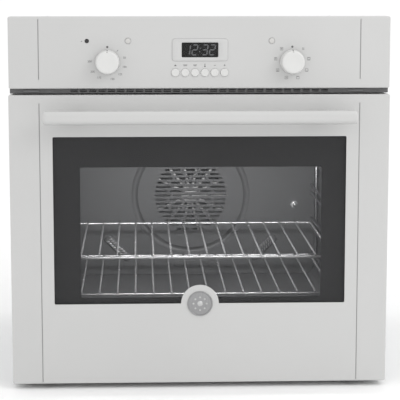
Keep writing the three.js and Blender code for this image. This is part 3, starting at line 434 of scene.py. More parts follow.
def bevelled_box(bm, low, high, radius, segments=2):
    center = (Vector(low) + Vector(high)) / 2
    size = Vector(high) - Vector(low)
    shape = Matrix.Translation(center) @ Matrix.Diagonal((*size, 1))
    made = bmesh.ops.create_cube(bm, size=1, matrix=shape)
    edges = list({edge for vert in made["verts"] for edge in vert.link_edges})
    bmesh.ops.bevel(bm, geom=edges, offset=radius, segments=segments, profile=0.5, affect="EDGES")


def rounded_outline(low_x, high_x, low_z, high_z, radius, steps=6):
    """Corner arcs of a rounded rectangle in X and Z, counter-clockwise."""
    left, right, bottom, top = low_x + radius, high_x - radius, low_z + radius, high_z - radius
    corners = ((right, bottom, -90), (right, top, 0), (left, top, 90), (left, bottom, 180))
    return [point for x, z, start in corners
            for point in arc((x, z), radius, start, start + 90, steps)]


def box_outline(low, high, radius, grow=0.0, steps=6):
    """The front of a box, grown or shrunk, with round corners."""
    return rounded_outline(low.x - grow, high.x + grow, low.z - grow, high.z + grow, radius, steps)


def circle_outline(x, z, radius, steps=32):
    return arc((x, z), radius, 0, 360 * (steps - 1) / steps, steps - 1)


def inside(point, outline):
    """True if a point lies within an outline."""
    hit = False
    count = len(outline)
    for i in range(count):
        (x0, z0), (x1, z1) = outline[i], outline[(i + 1) % count]
        if (z0 > point[1]) != (z1 > point[1]):
            if point[0] < (x1 - x0) * (point[1] - z0) / (z1 - z0) + x0:
                hit = not hit
    return hit


def pierced_plate(bm, outline, holes, y_front, y_back):
    """A flat plate in X and Z with holes, y_front to y_back."""
    verts, edges = [], []
    for loop in [outline, *holes]:
        start = len(verts)
        verts.extend(Vector(point) for point in loop)
        edges.extend((start + i, start + (i + 1) % len(loop)) for i in range(len(loop)))
    points, _, faces, *_ = delaunay_2d_cdt(verts, edges, [], 1, 1e-9)
    kept = []
    for face in faces:
        middle = sum((points[i] for i in face), Vector((0, 0))) / len(face)
        if inside(middle, outline) and not any(inside(middle, hole) for hole in holes):
            kept.append(face)
    front = [bm.verts.new((p[0], y_front, p[1])) for p in points]
    back = [bm.verts.new((p[0], y_back, p[1])) for p in points]
    rim = {}
    for face in kept:
        bm.faces.new([front[i] for i in face])
        bm.faces.new([back[i] for i in reversed(face)])
        for i, j in zip(face, face[1:] + face[:1]):
            rim[(i, j)] = rim.get((i, j), 0) + 1
    for i, j in rim:
        if (j, i) not in rim:
            bm.faces.new((front[j], front[i], back[i], back[j]))
    loose = [vert for vert in bm.verts if not vert.link_faces]
    bmesh.ops.delete(bm, geom=loose, context="VERTS")


def turned_piece(name, profile, seat, steps, body, slot, replaces=(), smooth_angle=40, paint=None):
    bm = bmesh.new()
    lathe(bm, profile, seat, steps)
    finish_piece(name, bm, body, slot, replaces, smooth_angle, paint)


def plate_piece(name, outline, holes, y_front, y_back, body, slot, replaces=(), paint=None):
    bm = bmesh.new()
    pierced_plate(bm, outline, holes, y_front, y_back)
    finish_piece(name, bm, body, slot, replaces, paint=paint)


def finish_print(name, bm, paint=INK):
    finish_piece(name, bm, "root", "black_plastic", paint=paint)


def ink_shape(bm, outline, y, holes=()):
    """A thin printed mark in front of the surface at y."""
    pierced_plate(bm, outline, list(holes), y - INK_GAP - INK_T, y - INK_GAP)


def ink_bar(bm, x, z, width, height, y, turn=0.0):
    c, s = math.cos(turn), math.sin(turn)
    half_w, half_h = width / 2, height / 2
    corners = [(-half_w, -half_h), (half_w, -half_h), (half_w, half_h), (-half_w, half_h)]
    ink_shape(bm, [(x + a * c - b * s, z + a * s + b * c) for a, b in corners], y)


def ink_ring(bm, x, z, radius, width, y):
    ink_shape(bm, circle_outline(x, z, radius), y, [circle_outline(x, z, radius - width)])


def ink_frame(bm, x, z, width, height, line, y):
    half_w, half_h = width / 2, height / 2
    radius = 0.3 * MM
    outer = rounded_outline(x - half_w, x + half_w, z - half_h, z + half_h, radius, 3)
    inner = rounded_outline(x - half_w + line, x + half_w - line, z - half_h + line, z + half_h - line,
                            radius / 2, 3)
    ink_shape(bm, outer, y, [inner])


def ink_text(bm, text, x, z, size, y):
    """Digits set in Blender's own font, centred on x and z."""
    curve = bpy.data.curves.new("digits", "FONT")
    curve.body = text
    curve.size = size
    curve.align_x = "CENTER"
    curve.align_y = "CENTER"
    curve.extrude = INK_T / 2
    curve.resolution_u = 4
    holder = add_object("digits", curve)
    mesh = bpy.data.meshes.new_from_object(holder)
    bpy.data.objects.remove(holder)
    place = Matrix.Translation((x, y - INK_GAP - INK_T / 2, z)) @ Matrix.Rotation(math.pi / 2, 4, "X")
    mesh.transform(place)
    bm.from_mesh(mesh)
    bpy.data.meshes.remove(mesh)


def polar(origin, radius, degrees):
    """A place on a dial, clockwise from the top as seen from the front."""
    angle = math.radians(degrees)
    return origin[0] + radius * math.sin(angle), origin[1] + radius * math.cos(angle)


def soften(node, width):
    """Rounds the sharp edges of a CAD node that stays in view."""
    weld = NODES[node].modifiers.new("weld", "WELD")
    weld.merge_threshold = 0.00001
    bevel = NODES[node].modifiers.new("edge", "BEVEL")
    bevel.width = width
    bevel.segments = 2
    bevel.limit_method = "ANGLE"
    bevel.angle_limit = math.radians(50)
    bevel.harden_normals = False


def middle(node):
    low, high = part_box(node)
    return (low + high) / 2


def round_box(node):
    """A round node that faces forward: middle of its seat, radius and depth."""
    low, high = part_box(node)
    center = (low + high) / 2
    return Vector((center.x, high.y, center.z)), (high.x - low.x) / 2, high.y - low.y


# ---- controls ----


def make_knob(prefix):
    """A knob with a skirt, a tapered grip with a round crown, and a pointer over its edge."""
    body = f"{prefix}_knob"
    seat, radius, depth = round_box(body)
    foot, skirt, crown, dish = 0.6 * MM, 2.2 * MM, 3.0 * MM, 0.55 * MM
    profile = [(0, 0), (radius - 0.5 * MM, 0)]
    profile += arc((radius - foot, foot), foot, -90, 0, 4)
    profile += [(radius, skirt), (radius - 0.5 * MM, skirt + 0.8 * MM)]
    profile += [(radius - 1.1 * MM, depth - 4.5 * MM)]
    profile += arc((radius - 1.1 * MM - crown, depth - crown), crown, 0, 80, 8)
    profile += [(radius - 6.5 * MM, depth - 0.25 * MM), (radius * 0.4, depth - 0.5 * MM), (0, depth - dish)]
    turned_piece(f"{prefix}_knob_body", profile, seat, 72, body, "white_plastic", [body], 35)
    bm = bmesh.new()
    front = seat.y - depth + 0.1 * MM
    top = seat.z + radius
    for half, start, end, drop, rise in (
        (0.8 * MM, front, front + 1.6 * MM, 4.6 * MM, 2.4 * MM),
        (0.75 * MM, front + 2.2 * MM, seat.y - 4 * MM, 2.0 * MM, 0.5 * MM),
    ):
        bevelled_box(bm, (seat.x - half, start, top - drop), (seat.x + half, end, top - rise), 0.2 * MM)
    finish_piece(f"{prefix}_knob_pointer", bm, body, "black_plastic", paint=INK)


DIAL_LABELS = ((76, 50), (106, 100), (134, 125), (164, 150), (208, 175), (237, 200), (272, 250))


def make_dial_prints():
    """A dot over each knob, temperatures round one and function symbols round the other."""
    face = PANEL_LOW.y
    for prefix in ("thermostat", "selector"):
        center = middle(f"{prefix}_knob")
        dial = (center.x, center.z)
        bm = bmesh.new()
        ink_shape(bm, circle_outline(*polar(dial, 23.2 * MM, 0), 1.7 * MM, 20), face)
        if prefix == "thermostat":
            x, z = polar(dial, 23.5 * MM, 42)
            ink_bar(bm, x, z, 2.6 * MM, 0.8 * MM, face, math.radians(48))
            for degrees, label in DIAL_LABELS:
                ink_text(bm, str(label), *polar(dial, 27.4 * MM, degrees), 4.4 * MM, face)
        else:
            for index in range(8):
                icon = polar(dial, 26.2 * MM, 40 * (index + 1))
                function_icon(bm, index, icon, face)
        finish_print(f"{prefix}_dial_print", bm)


def function_icon(bm, index, at, y):
    """Generic heating symbols: a square with bars, a wheel or a dot in it."""
    x, z = at
    size = 4.6 * MM
    if index == 0:
        ink_ring(bm, x, z, 1.5 * MM, 0.5 * MM, y)
        for turn in range(4):
            dx, dz = polar((0, 0), 2.2 * MM, 45 + 90 * turn)
            ink_bar(bm, x + dx, z + dz, 0.9 * MM, 0.35 * MM, y, math.radians(45 - 90 * turn))
        return
    ink_frame(bm, x, z, size, size, 0.42 * MM, y)
    if index in (1, 3, 6):
        ink_bar(bm, x, z + 1.35 * MM, 2.8 * MM, 0.5 * MM, y)
    if index in (1, 2, 5):
        ink_bar(bm, x, z - 1.35 * MM, 2.8 * MM, 0.5 * MM, y)
    if index in (4, 5, 6):
        ink_ring(bm, x, z, 0.85 * MM, 0.4 * MM, y)
    if index == 7:
        for turn in (0, 60, 120):
            ink_bar(bm, x, z, 2.6 * MM, 0.35 * MM, y, math.radians(turn))


def make_panel_marks():
    """A tick beside the dark dot, symbols over the timer buttons, and rings round two lenses."""
    face = PANEL_LOW.y
    bm = bmesh.new()
    first = middle("indicator_lens_1")
    ink_bar(bm, first.x - 8 * MM, first.z - 0.4 * MM, 2.2 * MM, 0.9 * MM, face, 0.5)
    buttons = [middle(f"timer_button_{i}") for i in range(1, 7)]
    z = buttons[0].z + 11.2 * MM
    for index, button in enumerate(buttons):
        timer_icon(bm, index, button.x, z, face)
    finish_print("timer_symbols", bm)

    bm = bmesh.new()
    for name in ("indicator_lens_2", "indicator_lens_3"):
        seat, radius, _ = round_box(name)
        ink_ring(bm, seat.x, seat.z, radius + 1.1 * MM, 0.6 * MM, face)
    finish_print("lens_outlines", bm, PALE_INK_AND_SHADE)


def timer_icon(bm, index, x, z, y):
    """Generic symbols: bell, clock faces, thermometer, minus and plus."""
    if index == 0:
        ink_shape(bm, arc((x, z - 0.6 * MM), 1.5 * MM, 0, 180, 10), y)
        ink_bar(bm, x, z - 0.9 * MM, 3.6 * MM, 0.45 * MM, y)
    if index in (1, 2):
        width = 6.6 * MM if index == 1 else 5.4 * MM
        ink_bar(bm, x, z + 0.7 * MM, width, 0.7 * MM, y)
        ink_bar(bm, x, z - 0.7 * MM, width * 0.8, 0.7 * MM, y)
    if index == 3:
        ink_bar(bm, x, z + 0.8 * MM, 0.9 * MM, 3.4 * MM, y)
        ink_shape(bm, circle_outline(x, z - 1.6 * MM, 1.1 * MM, 16), y)
    if index == 4:
        ink_bar(bm, x, z, 2.8 * MM, 0.7 * MM, y)
    if index == 5:
        ink_bar(bm, x, z, 2.8 * MM, 0.7 * MM, y)
        ink_bar(bm, x, z + 0.95 * MM, 0.7 * MM, 1.0 * MM, y)
        ink_bar(bm, x, z - 0.95 * MM, 0.7 * MM, 1.0 * MM, y)


def make_bezel():
    """The timer's soft-edged frame, and a grey line round it that is painted shade in its groove."""
    low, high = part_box("timer_bezel")
    window_low, window_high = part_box("display_window")
    face = PANEL_LOW.y
    proud = face - low.y
    corner = 4 * MM
    bm = bmesh.new()
    hole = box_outline(window_low, window_high, 2 * MM, 0.3 * MM)
    rim = box_outline(low, high, corner)
    crown = box_outline(low, high, corner - proud, -proud)
    dip = box_outline(window_low, window_high, 3 * MM, 1.4 * MM)
    rings = [(rim, face - 0.02 * MM), (rim, low.y + proud * 0.45), (crown, low.y), (dip, low.y + 0.05 * MM),
             (hole, low.y + 0.8 * MM), (hole, window_low.y + 3 * MM)]
    add_rings_closed(bm, rings)
    finish_piece("timer_bezel_frame", bm, "root", "white_plastic", ["timer_bezel"], 50, paint=BEZEL)

    # Grey line in the gap round the frame: painted shade in the groove.
    bm = bmesh.new()
    groove = box_outline(low, high, 4.6 * MM, 0.7 * MM)
    ink_shape(bm, groove, face, [box_outline(low, high, 4.05 * MM, 0.05 * MM)])
    finish_print("timer_groove_shade", bm, PALE_INK_AND_SHADE)


def make_display():
    """The dark pane, its black backing, and the digits between them."""
    low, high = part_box("display_window")
    center = (low + high) / 2
    outline = box_outline(low, high, 1.8 * MM)
    pane_front, pane_back = low.y + 0.6 * MM, low.y + 1.4 * MM
    digit_y, back_front, back_back = low.y + 2.0 * MM, low.y + 2.2 * MM, low.y + 3.2 * MM
    plate_piece("display_backing", outline, [], back_front, back_back, "root", "black_plastic", paint=FRIT)
    plate_piece("display_pane", outline, [], pane_front, pane_back, "root", "display_glass",
                ["display_window"])

    pitch, colon_room, dot_rise = 11.4 * MM, 0.31, 2.6 * MM
    bm = bmesh.new()
    for place, digit in zip((-2, -1, 1, 2), "1232"):
        shift = pitch * (place - math.copysign(colon_room, place))
        seven_segment(bm, digit, center.x + shift, center.z, digit_y)
    for rise in (-dot_rise, dot_rise):
        dot = circle_outline(center.x + rise * SLANT, center.z + rise, 0.95 * MM, 12)
        ink_shape(bm, dot, digit_y)
    finish_piece("display_digit_segments", bm, "root", "display_glass", paint=DIGITS)


SLANT = 0.14
SEGMENTS = {"1": "bc", "2": "abged", "3": "abgcd"}


def seven_segment(bm, digit, x, z, y):
    """One slanted digit of bar segments."""
    width, height, line = 7.6 * MM, 15.4 * MM, 1.9 * MM
    half_w, half_h = width / 2, height / 2
    spots = {
        "a": (0, half_h, True), "g": (0, 0, True), "d": (0, -half_h, True),
        "b": (half_w, half_h / 2, False), "c": (half_w, -half_h / 2, False),
        "e": (-half_w, -half_h / 2, False),
    }
    for name in SEGMENTS[digit]:
        dx, dz, flat = spots[name]
        reach = (width if flat else half_h) / 2 - 0.35 * MM
        tip = line / 2
        shape = [(-reach, 0), (-reach + tip, -tip), (reach - tip, -tip), (reach, 0), (reach - tip, tip),
                 (-reach + tip, tip)]
        if not flat:
            shape = [(-b, a) for a, b in shape]
        ink_shape(bm, [(x + dx + a + (dz + b) * SLANT, z + dz + b) for a, b in shape], y)


def add_rings_closed(bm, rings):
    """Skins outlines at given depths and closes the last back to the first."""
    add_faces(bm, [[(x, y, z) for x, z in outline] for outline, y in rings], wrap=True)


def make_buttons():
    for index in range(1, 7):
        node = f"timer_button_{index}"
        seat, radius, depth = round_box(node)
        cap = radius - 0.68 * MM
        profile = [(0, 0), (radius, 0), (radius, 1.2 * MM), (cap, 1.25 * MM), (cap, depth - 1.0 * MM)]
        profile += arc((cap - 0.9 * MM, depth - 0.9 * MM), 0.9 * MM, 10, 90, 5)
        profile += [(cap * 0.5, depth - 0.12 * MM), (0, depth - 0.2 * MM)]
        turned_piece(f"{node}_cap", profile, seat, 40, node, "white_plastic", [node], 50)


def make_lenses():
    for index in (1, 2, 3):
        node = f"indicator_lens_{index}"
        seat, radius, depth = round_box(node)
        profile = [(0, 0), (radius, 0), (radius, depth - 0.5 * MM), (radius - 0.3 * MM, depth - 0.15 * MM)]
        profile += [(radius * 0.6, depth - 0.03 * MM), (0, depth)]
        slot = "black_plastic" if index == 1 else "lens_plastic"
        turned_piece(f"{node}_cap", profile, seat, 32, "root", slot, [node], 50)


# ---- door ----


def make_glass():
    low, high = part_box("door_outer_glass")
    outline = box_outline(low, high, 4 * MM, -0.5 * MM)
    clear = rounded_outline(-188 * MM, 192 * MM, low.z + 19.5 * MM, high.z - 58.5 * MM, 3 * MM)
    plate_piece("outer_glass_print", outline, [clear], high.y + 0.1 * MM, high.y + 0.35 * MM,
                "door", "door_glass", paint=FRIT)
    low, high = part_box("door_inner_glass")
    band = 14 * MM
    outline = box_outline(low, high, 4 * MM)
    clear = box_outline(low, high, 8 * MM, -band)
    plate_piece("inner_glass_print", outline, [clear], low.y - 0.3 * MM, low.y - 0.05 * MM,
                "door", "inner_glass", paint=FRIT)


def make_badge():
    """A plain medallion: domed rim, recessed brushed disc and a ring of small dots."""
    seat, radius, depth = round_box("badge_disc")
    profile = [(0, 0), (radius, 0), (radius, depth * 0.5)]
    profile += arc((radius - 1.0 * MM, depth - 1.0 * MM), 1.0 * MM, 0, 180, 10)
    profile += [(radius - 2.4 * MM, depth * 0.55), (0, depth * 0.62)]
    turned_piece("badge_medallion", profile, seat, 72, "door", "brushed_steel", ["badge_disc"], paint=MEDAL)
    bm = bmesh.new()
    face = seat.y - depth * 0.6
    for index in range(8):
        x, z = polar((seat.x, seat.z), radius * 0.52, index * 45)
        lathe(bm, [(0, 0), (1.6 * MM, 0), (1.3 * MM, 0.45 * MM), (0, 0.6 * MM)], (x, face, z), 16)
    lathe(bm, [(0, 0), (4.2 * MM, 0), (3.6 * MM, 0.5 * MM), (0, 0.7 * MM)], (seat.x, face, seat.z), 32)
    finish_piece("badge_dots", bm, "door", "brushed_steel")


def handle_section(half_z, half_y):
    """Crowned front that falls away more to its lower edge, and a flat back."""
    points = []
    for i in range(21):
        share = -1 + i / 10
        fall = 0.46 * abs(share) ** 3 if share < 0 else 0.2 * share ** 4
        points.append((half_z * share, -half_y + 2 * half_y * fall))
    back = half_y * 0.6
    return points + [(half_z, back), (half_z * 0.92, half_y), (-half_z * 0.92, half_y), (-half_z, back)]


def make_handle():
    low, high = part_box("handle_bar")
    center = (low + high) / 2
    half_y, half_z = (high.y - low.y) / 2, (high.z - low.z) / 2
    end = 4.5 * MM
    bm = bmesh.new()
    rings = []
    stations = [(low.x + end * (1 - math.cos(a)), 1 - 0.42 * (1 - math.sin(a))) for a in
                [math.radians(d) for d in (0, 15, 30, 50, 70, 90)]]
    stations += [(low.x + (high.x - low.x) * i / 12, 1.0) for i in range(1, 12)]
    stations += [(high.x + low.x - x, grow) for x, grow in reversed(stations[:6])]
    for x, grow in stations:
        section = handle_section(half_z * grow, half_y * grow)
        rings.append([(x, center.y + b, center.z + a) for a, b in section])
    add_faces(bm, rings)
    finish_piece("handle_bar_smooth", bm, "door", "handle_enamel", ["handle_bar"], 60)
    # A dark strip along the bar's lower edge: painted shade where the bar turns away from the light.
    bm = bmesh.new()
    strip_low = (low.x + 7 * MM, center.y - 0.3 * MM, low.z + 0.05 * MM)
    bevelled_box(bm, strip_low, (high.x - 7 * MM, high.y - 1.7 * MM, low.z + 2.3 * MM), 0.5 * MM)
    finish_piece("handle_underside_shade", bm, "door", "handle_enamel", paint=HANDLE_EDGE_SHADE)


def make_handle_posts():
    waist = ((0, 1.0), (0.06, 1.0), (0.16, 0.9), (0.5, 0.84), (0.86, 0.84), (1.0, 0.84))
    for word in SIDES:
        node = f"handle_bracket_{word}"
        post_low, post_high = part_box(node)
        post = (post_low + post_high) / 2
        half = (post_high.x - post_low.x) / 2
        bm = bmesh.new()
        rings = []
        reach = post_high.y - post_low.y
        for share, grow in waist:
            reach_x = half * grow
            section = rounded_outline(-reach_x, reach_x, -reach_x, reach_x, 4.5 * MM * grow)
            y = post_high.y - reach * share - (0.02 * MM if share == 0 else 0)
            rings.append([(post.x + a, y, post.z + b) for a, b in section])
        add_faces(bm, rings)
        finish_piece(f"{node}_post", bm, "door", "handle_enamel", [node], 50)


def make_seal():
    """A bulb-shaped gasket, run round the cavity mouth."""
    low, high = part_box("door_seal")
    depth = high.y - low.y
    width = 8 * MM
    mid = width / 2
    corner = 28 * MM
    bm = bmesh.new()
    half = [(mid, 0), (mid, depth * 0.25), (mid * 0.7, depth * 0.62), (mid * 0.3, depth * 0.94)]
    profile = [(-offset, rise) for offset, rise in half] + [(0, depth)] + half[::-1]
    rings = []
    for offset, rise in profile:
        inset = mid - offset
        rings.append((box_outline(low, high, corner - inset, -inset, 8), high.y - rise))
    add_rings_closed(bm, rings)
    finish_piece("door_seal_bulb", bm, "root", "seal_rubber", ["door_seal"], 60)


# ---- cavity ----

SHELF_WIRES = 14
SHELF_PITCH = 29.2 * MM


def make_shelf(node):
    low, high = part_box(node)
    rod, wire = 3 * MM, 1.6 * MM
    left, right = low.x + rod, high.x - rod
    z = low.z + rod
    front, rear = low.y + 2.6 * MM, high.y - 2.6 * MM
    corner = 7 * MM
    bm = bmesh.new()
    outline = rounded_outline(left, right, front, rear, corner, 5)
    tube(bm, [(x, y, z) for x, y in outline], rod * 0.72, 14, closed=True)
    lift = high.z - wire - z
    for i in range(SHELF_WIRES):
        x = (i - (SHELF_WIRES - 1) / 2) * SHELF_PITCH
        tube(bm, [(x, low.y + 1.2 * MM, z + lift), (x, high.y - 1.2 * MM, z + lift)], wire, 10)
    finish_piece(f"{node}_wires", bm, node, "chrome_wire", [node], 60)


RACK_LEVELS = (139.5 * MM, 200 * MM, 260.5 * MM, 321 * MM)


def make_rack(word, side):
    """Two posts on wall studs, with a pair of runner wires at each level."""
    node = f"side_rack_{word}"
    low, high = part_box(node)
    post_r, wire_r = 3 * MM, 2.5 * MM
    inner = low.x if side > 0 else high.x
    wire_x = inner + side * wire_r
    post_x = wire_x + side * (wire_r + post_r - 0.7 * MM)
    bm = bmesh.new()
    posts = (-215 * MM, 75 * MM)
    for y in posts:
        tube(bm, [(post_x, y, low.z + 1 * MM), (post_x, y, high.z - 1 * MM)], post_r, 12)
        for z in (low.z + 6 * MM, high.z - 6 * MM):
            wall = high.x if side > 0 else low.x
            tube(bm, [(post_x, y, z), (wall - side * 0.4 * MM, y, z)], 2 * MM, 10)
    for level in RACK_LEVELS:
        front, rear = low.y + 1.5 * MM, high.y - 1.5 * MM
        for z in (level - 5.5 * MM, level + 9.5 * MM):
            tube(bm, [(wire_x, front, z), (wire_x, rear, z)], wire_r * 0.96, 12)
    # The racks take a darker chrome than the shelves, as painted shade.
    finish_piece(f"{node}_wires", bm, "root", "chrome_wire", [node], 60, paint=RACK_SHADE)


FAN_Z = middle("convection_fan").z


def grille_slots():
    """Rows of long, narrow slots that fill a circle."""
    rows, pitch, reach_max = 17, 7.9 * MM, 69 * MM
    bridge, longest = 4.5 * MM, 34 * MM
    slots = []
    for row in range(rows):
        rise = (row - (rows - 1) / 2) * pitch
        span = 2 * math.sqrt(max(reach_max ** 2 - rise ** 2, 0))
        count = max(2, math.ceil((span + bridge) / (longest + bridge)) + row % 2)
        step = span / count
        for i in range(count):
            x = (i - (count - 1) / 2) * step
            half = (step - bridge) / 2
            z = FAN_Z + rise
            slots.append(rounded_outline(x - half, x + half, z - 1.9 * MM, z + 1.9 * MM, 1.8 * MM, 3))
    return slots


def make_fan():
    """Fan wheel: a back disc painted dark grey as shade, and folded blade edges close behind the grille
    painted bright grey as highlight.
    """
    wheel = "convection_fan"
    low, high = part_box(wheel)
    radius = (high.x - low.x) / 2
    front = low.y
    blades = 14
    # The blades are painted bright grey as highlight.
    bm = bmesh.new()
    for i in range(blades):
        turn = Matrix.Rotation(2 * math.pi * i / blades, 4, "Y")
        blade = bmesh.new()
        for inner, start, end, low_z in ((14 * MM, 2.2 * MM, 3.4 * MM, -2.4 * MM),
                                         (26 * MM, 3.0 * MM, 20 * MM, 0.8 * MM)):
            bevelled_box(blade, (inner, front + start, low_z), (radius - 3 * MM, front + end, 1.6 * MM),
                         0.3 * MM)
        blade.transform(Matrix.Translation((0, 0, FAN_Z)) @ turn)
        mesh = bpy.data.meshes.new("blade")
        blade.to_mesh(mesh)
        blade.free()
        bm.from_mesh(mesh)
        bpy.data.meshes.remove(mesh)
    hub = [(0, 0), (17 * MM, 0), (17 * MM, 1.2 * MM), (9 * MM, 1.4 * MM), (8 * MM, 2.4 * MM), (0, 2.6 * MM)]
    lathe(bm, hub, (0, front + 4 * MM, FAN_Z), 40)
    finish_piece(f"{wheel}_blades", bm, wheel, "fan_aluminium", [wheel], paint=BLADE_HIGHLIGHT)
    # The back disc is painted dark grey as shade.
    disc_t, bore_r = 1.5 * MM, 4 * MM
    collar = high.y - front - 21 * MM
    bm = bmesh.new()
    lathe(bm, [(0, 0), (radius, 0), (radius, disc_t), (0, disc_t)], (0, front + 21.5 * MM, FAN_Z), 48)
    lathe(bm, [(0, 0), (bore_r, 0), (bore_r, collar), (0, collar)], (0, high.y, FAN_Z), 20)
    finish_piece(f"{wheel}_disc", bm, wheel, "fan_aluminium", paint=FAN_DISC_SHADE)


LOUVRE_PROUD = 4 * MM
BAFFLE_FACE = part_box("fan_baffle")[0].y + LOUVRE_PROUD


def make_baffle():
    """The pressed rear panel, with a slotted grille inside a ring groove."""
    low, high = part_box("fan_baffle")
    face = BAFFLE_FACE
    thick = 1.2 * MM
    bm = bmesh.new()
    outline = box_outline(low, high, 17 * MM)
    lamp = middle("oven_lamp_lens")
    lamp_hole = circle_outline(lamp.x, lamp.z, 25 * MM, 36)
    ring_out, ring_in = 110 * MM, 98 * MM
    ring = circle_outline(0, FAN_Z, ring_out, 72)
    louvre_cuts = [turned_slot(side, 46 * MM, 6 * MM) for side in SIDES.values()]
    pierced_plate(bm, outline, [ring, lamp_hole, *louvre_cuts], face, face + thick)
    depth = 4.5 * MM
    steps = 6
    bowl = []
    for i in range(steps + 1):
        share = i / steps
        radius = ring_out - (ring_out - ring_in) * share
        bowl.append((circle_outline(0, FAN_Z, radius, 72), face + depth * math.sin(math.pi * share)))
    back = [(outline_i, y + thick) for outline_i, y in reversed(bowl)]
    add_rings_closed(bm, bowl + back)
    inner = circle_outline(0, FAN_Z, ring_in, 72)
    pierced_plate(bm, inner, grille_slots(), face, face + thick)
    rim = [(outline, face + thick), (outline, high.y - 0.1 * MM)]
    inset = box_outline(low, high, 16 * MM, -thick)
    add_rings_closed(bm, [*rim, (inset, high.y - 0.1 * MM), (inset, face + thick)])
    finish_piece("fan_baffle_pressing", bm, "root", "grey_enamel", ["fan_baffle"], 35)


def make_baffle_fittings():
    """Two corner louvres with slats painted bright steel as highlight, a plaque at the foot and a cap nut at
    the right.
    """
    low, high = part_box("fan_baffle")
    half_w, half_h = 31 * MM, 5.5 * MM
    plaque = low.z + 20.7 * MM
    bm = bmesh.new()
    for side in SIDES.values():
        louvre_hood(bm, side)
    bevelled_box(bm, (-half_w, BAFFLE_FACE - 1.4 * MM, plaque - half_h),
                 (half_w, BAFFLE_FACE - 0.02 * MM, plaque + half_h), 0.6 * MM)
    finish_piece("baffle_louvres", bm, "root", "grey_enamel")
    # The enamel slats are painted bright steel as highlight.
    bm = bmesh.new()
    for side in SIDES.values():
        louvre_ribs(bm, side)
    finish_piece("baffle_louvre_slat_highlights", bm, "root", "grey_enamel", paint=PAINT["brushed_steel"])
    washer_r, nut_r, dome_start = 7 * MM, 4.6 * MM, 5 * MM
    profile = [(0, 0), (washer_r, 0), (washer_r, 1.2 * MM), (nut_r, 1.6 * MM), (nut_r, dome_start)]
    profile += arc((0, dome_start), nut_r, 10, 80, 5) + [(0, dome_start + nut_r)]
    seat = (high.x - 37 * MM, BAFFLE_FACE, low.z + 131 * MM)
    turned_piece("baffle_cap_nut", profile, seat, 24, "root", "grey_enamel", paint=PAINT["chrome_wire"])


def louvre_frame(side):
    """Middle and directions of a louvre that slopes down to the middle of the panel."""
    low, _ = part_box("fan_baffle")
    center = Vector((side * 136 * MM, low.z + 50.2 * MM))
    along = Vector((math.cos(math.radians(45)), side * math.sin(math.radians(45))))
    across = Vector((-along.y, along.x))
    return center, along, across


def turned_slot(side, length, width):
    center, along, across = louvre_frame(side)
    half_l, half_w = length / 2, width / 2
    return [tuple(center + along * a + across * b) for a, b in
            ((-half_l, -half_w), (half_l, -half_w), (half_l, half_w), (-half_l, half_w))]


def louvre_hood(bm, side):
    """A raised, round-ended hood."""
    center, along, across = louvre_frame(side)
    foot, rise = BAFFLE_FACE - 0.02 * MM, LOUVRE_PROUD - 0.4 * MM

    def spot(a, b, y):
        point = center + along * a + across * b
        return (point.x, y, point.y)

    half_l, half_w = 31 * MM, 8 * MM
    rings = []
    for share, lift in ((1.0, 0.0), (0.93, 0.5), (0.82, 0.85), (0.66, 1.0)):
        section = rounded_outline(-half_l * (0.6 + 0.4 * share), half_l * (0.6 + 0.4 * share),
                                  -half_w * share, half_w * share, half_w * share * 0.7, 4)
        rings.append([spot(a, b, foot - rise * lift) for a, b in section])
    add_faces(bm, rings)


def louvre_ribs(bm, side):
    """Slats across the hood, in two rows, that are painted bright steel as highlight."""
    center, along, across = louvre_frame(side)
    y = BAFFLE_FACE - LOUVRE_PROUD + 0.45 * MM
    for i in range(9):
        for b in (-0.42, 0.42):
            a = (i - 4) * 5.4 * MM
            ends = [center + along * (a + slip) + across * (b + reach) * 8 * MM
                    for slip, reach in ((-1.6 * MM, -0.26), (1.6 * MM, 0.26))]
            tube(bm, [(end.x, y, end.y) for end in ends], 0.8 * MM, 8)


def make_lamp():
    seat, radius, _ = round_box("oven_lamp_lens")
    dome = radius - 8 * MM
    profile = [(0, 0), (dome, 0), (radius - 7 * MM, 9 * MM), (radius - 1 * MM, 10 * MM), (radius, 10.8 * MM)]
    profile += [(radius, 13.6 * MM), (radius - 1 * MM, 14.6 * MM), (radius - 7 * MM, 15 * MM)]
    for degrees in (0, 20, 40, 60, 80):
        angle = math.radians(degrees)
        profile.append((dome * math.cos(angle), 15 * MM + 3 * MM * math.sin(angle)))
    profile.append((0, 18 * MM))
    turned_piece("oven_lamp_glass", profile, seat, 48, "root", "lamp_glass", ["oven_lamp_lens"])


def corner_path(corners, radius):
    """Corner points joined by straight stretches and round bends."""
    steps = 6
    corners = [Vector(c) for c in corners]
    path = [corners[0]]
    for before, here, after in zip(corners, corners[1:], corners[2:]):
        start = here + (before - here).normalized() * radius
        end = here + (after - here).normalized() * radius
        for i in range(steps + 1):
            t = i / steps
            path.append(start.lerp(here, t).lerp(here.lerp(end, t), t))
    path.append(corners[-1])
    return path


def make_grill_element():
    low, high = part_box("grill_element")
    radius = (high.z - low.z) / 2
    z = (low.z + high.z) / 2
    wide = high.x - radius
    front = low.y + radius
    rear = BAFFLE_FACE - 40 * MM
    half = [(40 * MM, high.y), (40 * MM, rear), (wide, rear), (wide, front), (110 * MM, front),
            (110 * MM, rear - 50 * MM)]
    corners = [(-x, y, z) for x, y in half] + [(x, y, z) for x, y in reversed(half)]
    bm = bmesh.new()
    tube(bm, corner_path(corners, 17 * MM), radius * 0.97, 12)
    finish_piece("grill_element_tube", bm, "root", "heater_steel", ["grill_element"], 60)


# ---- chassis details ----


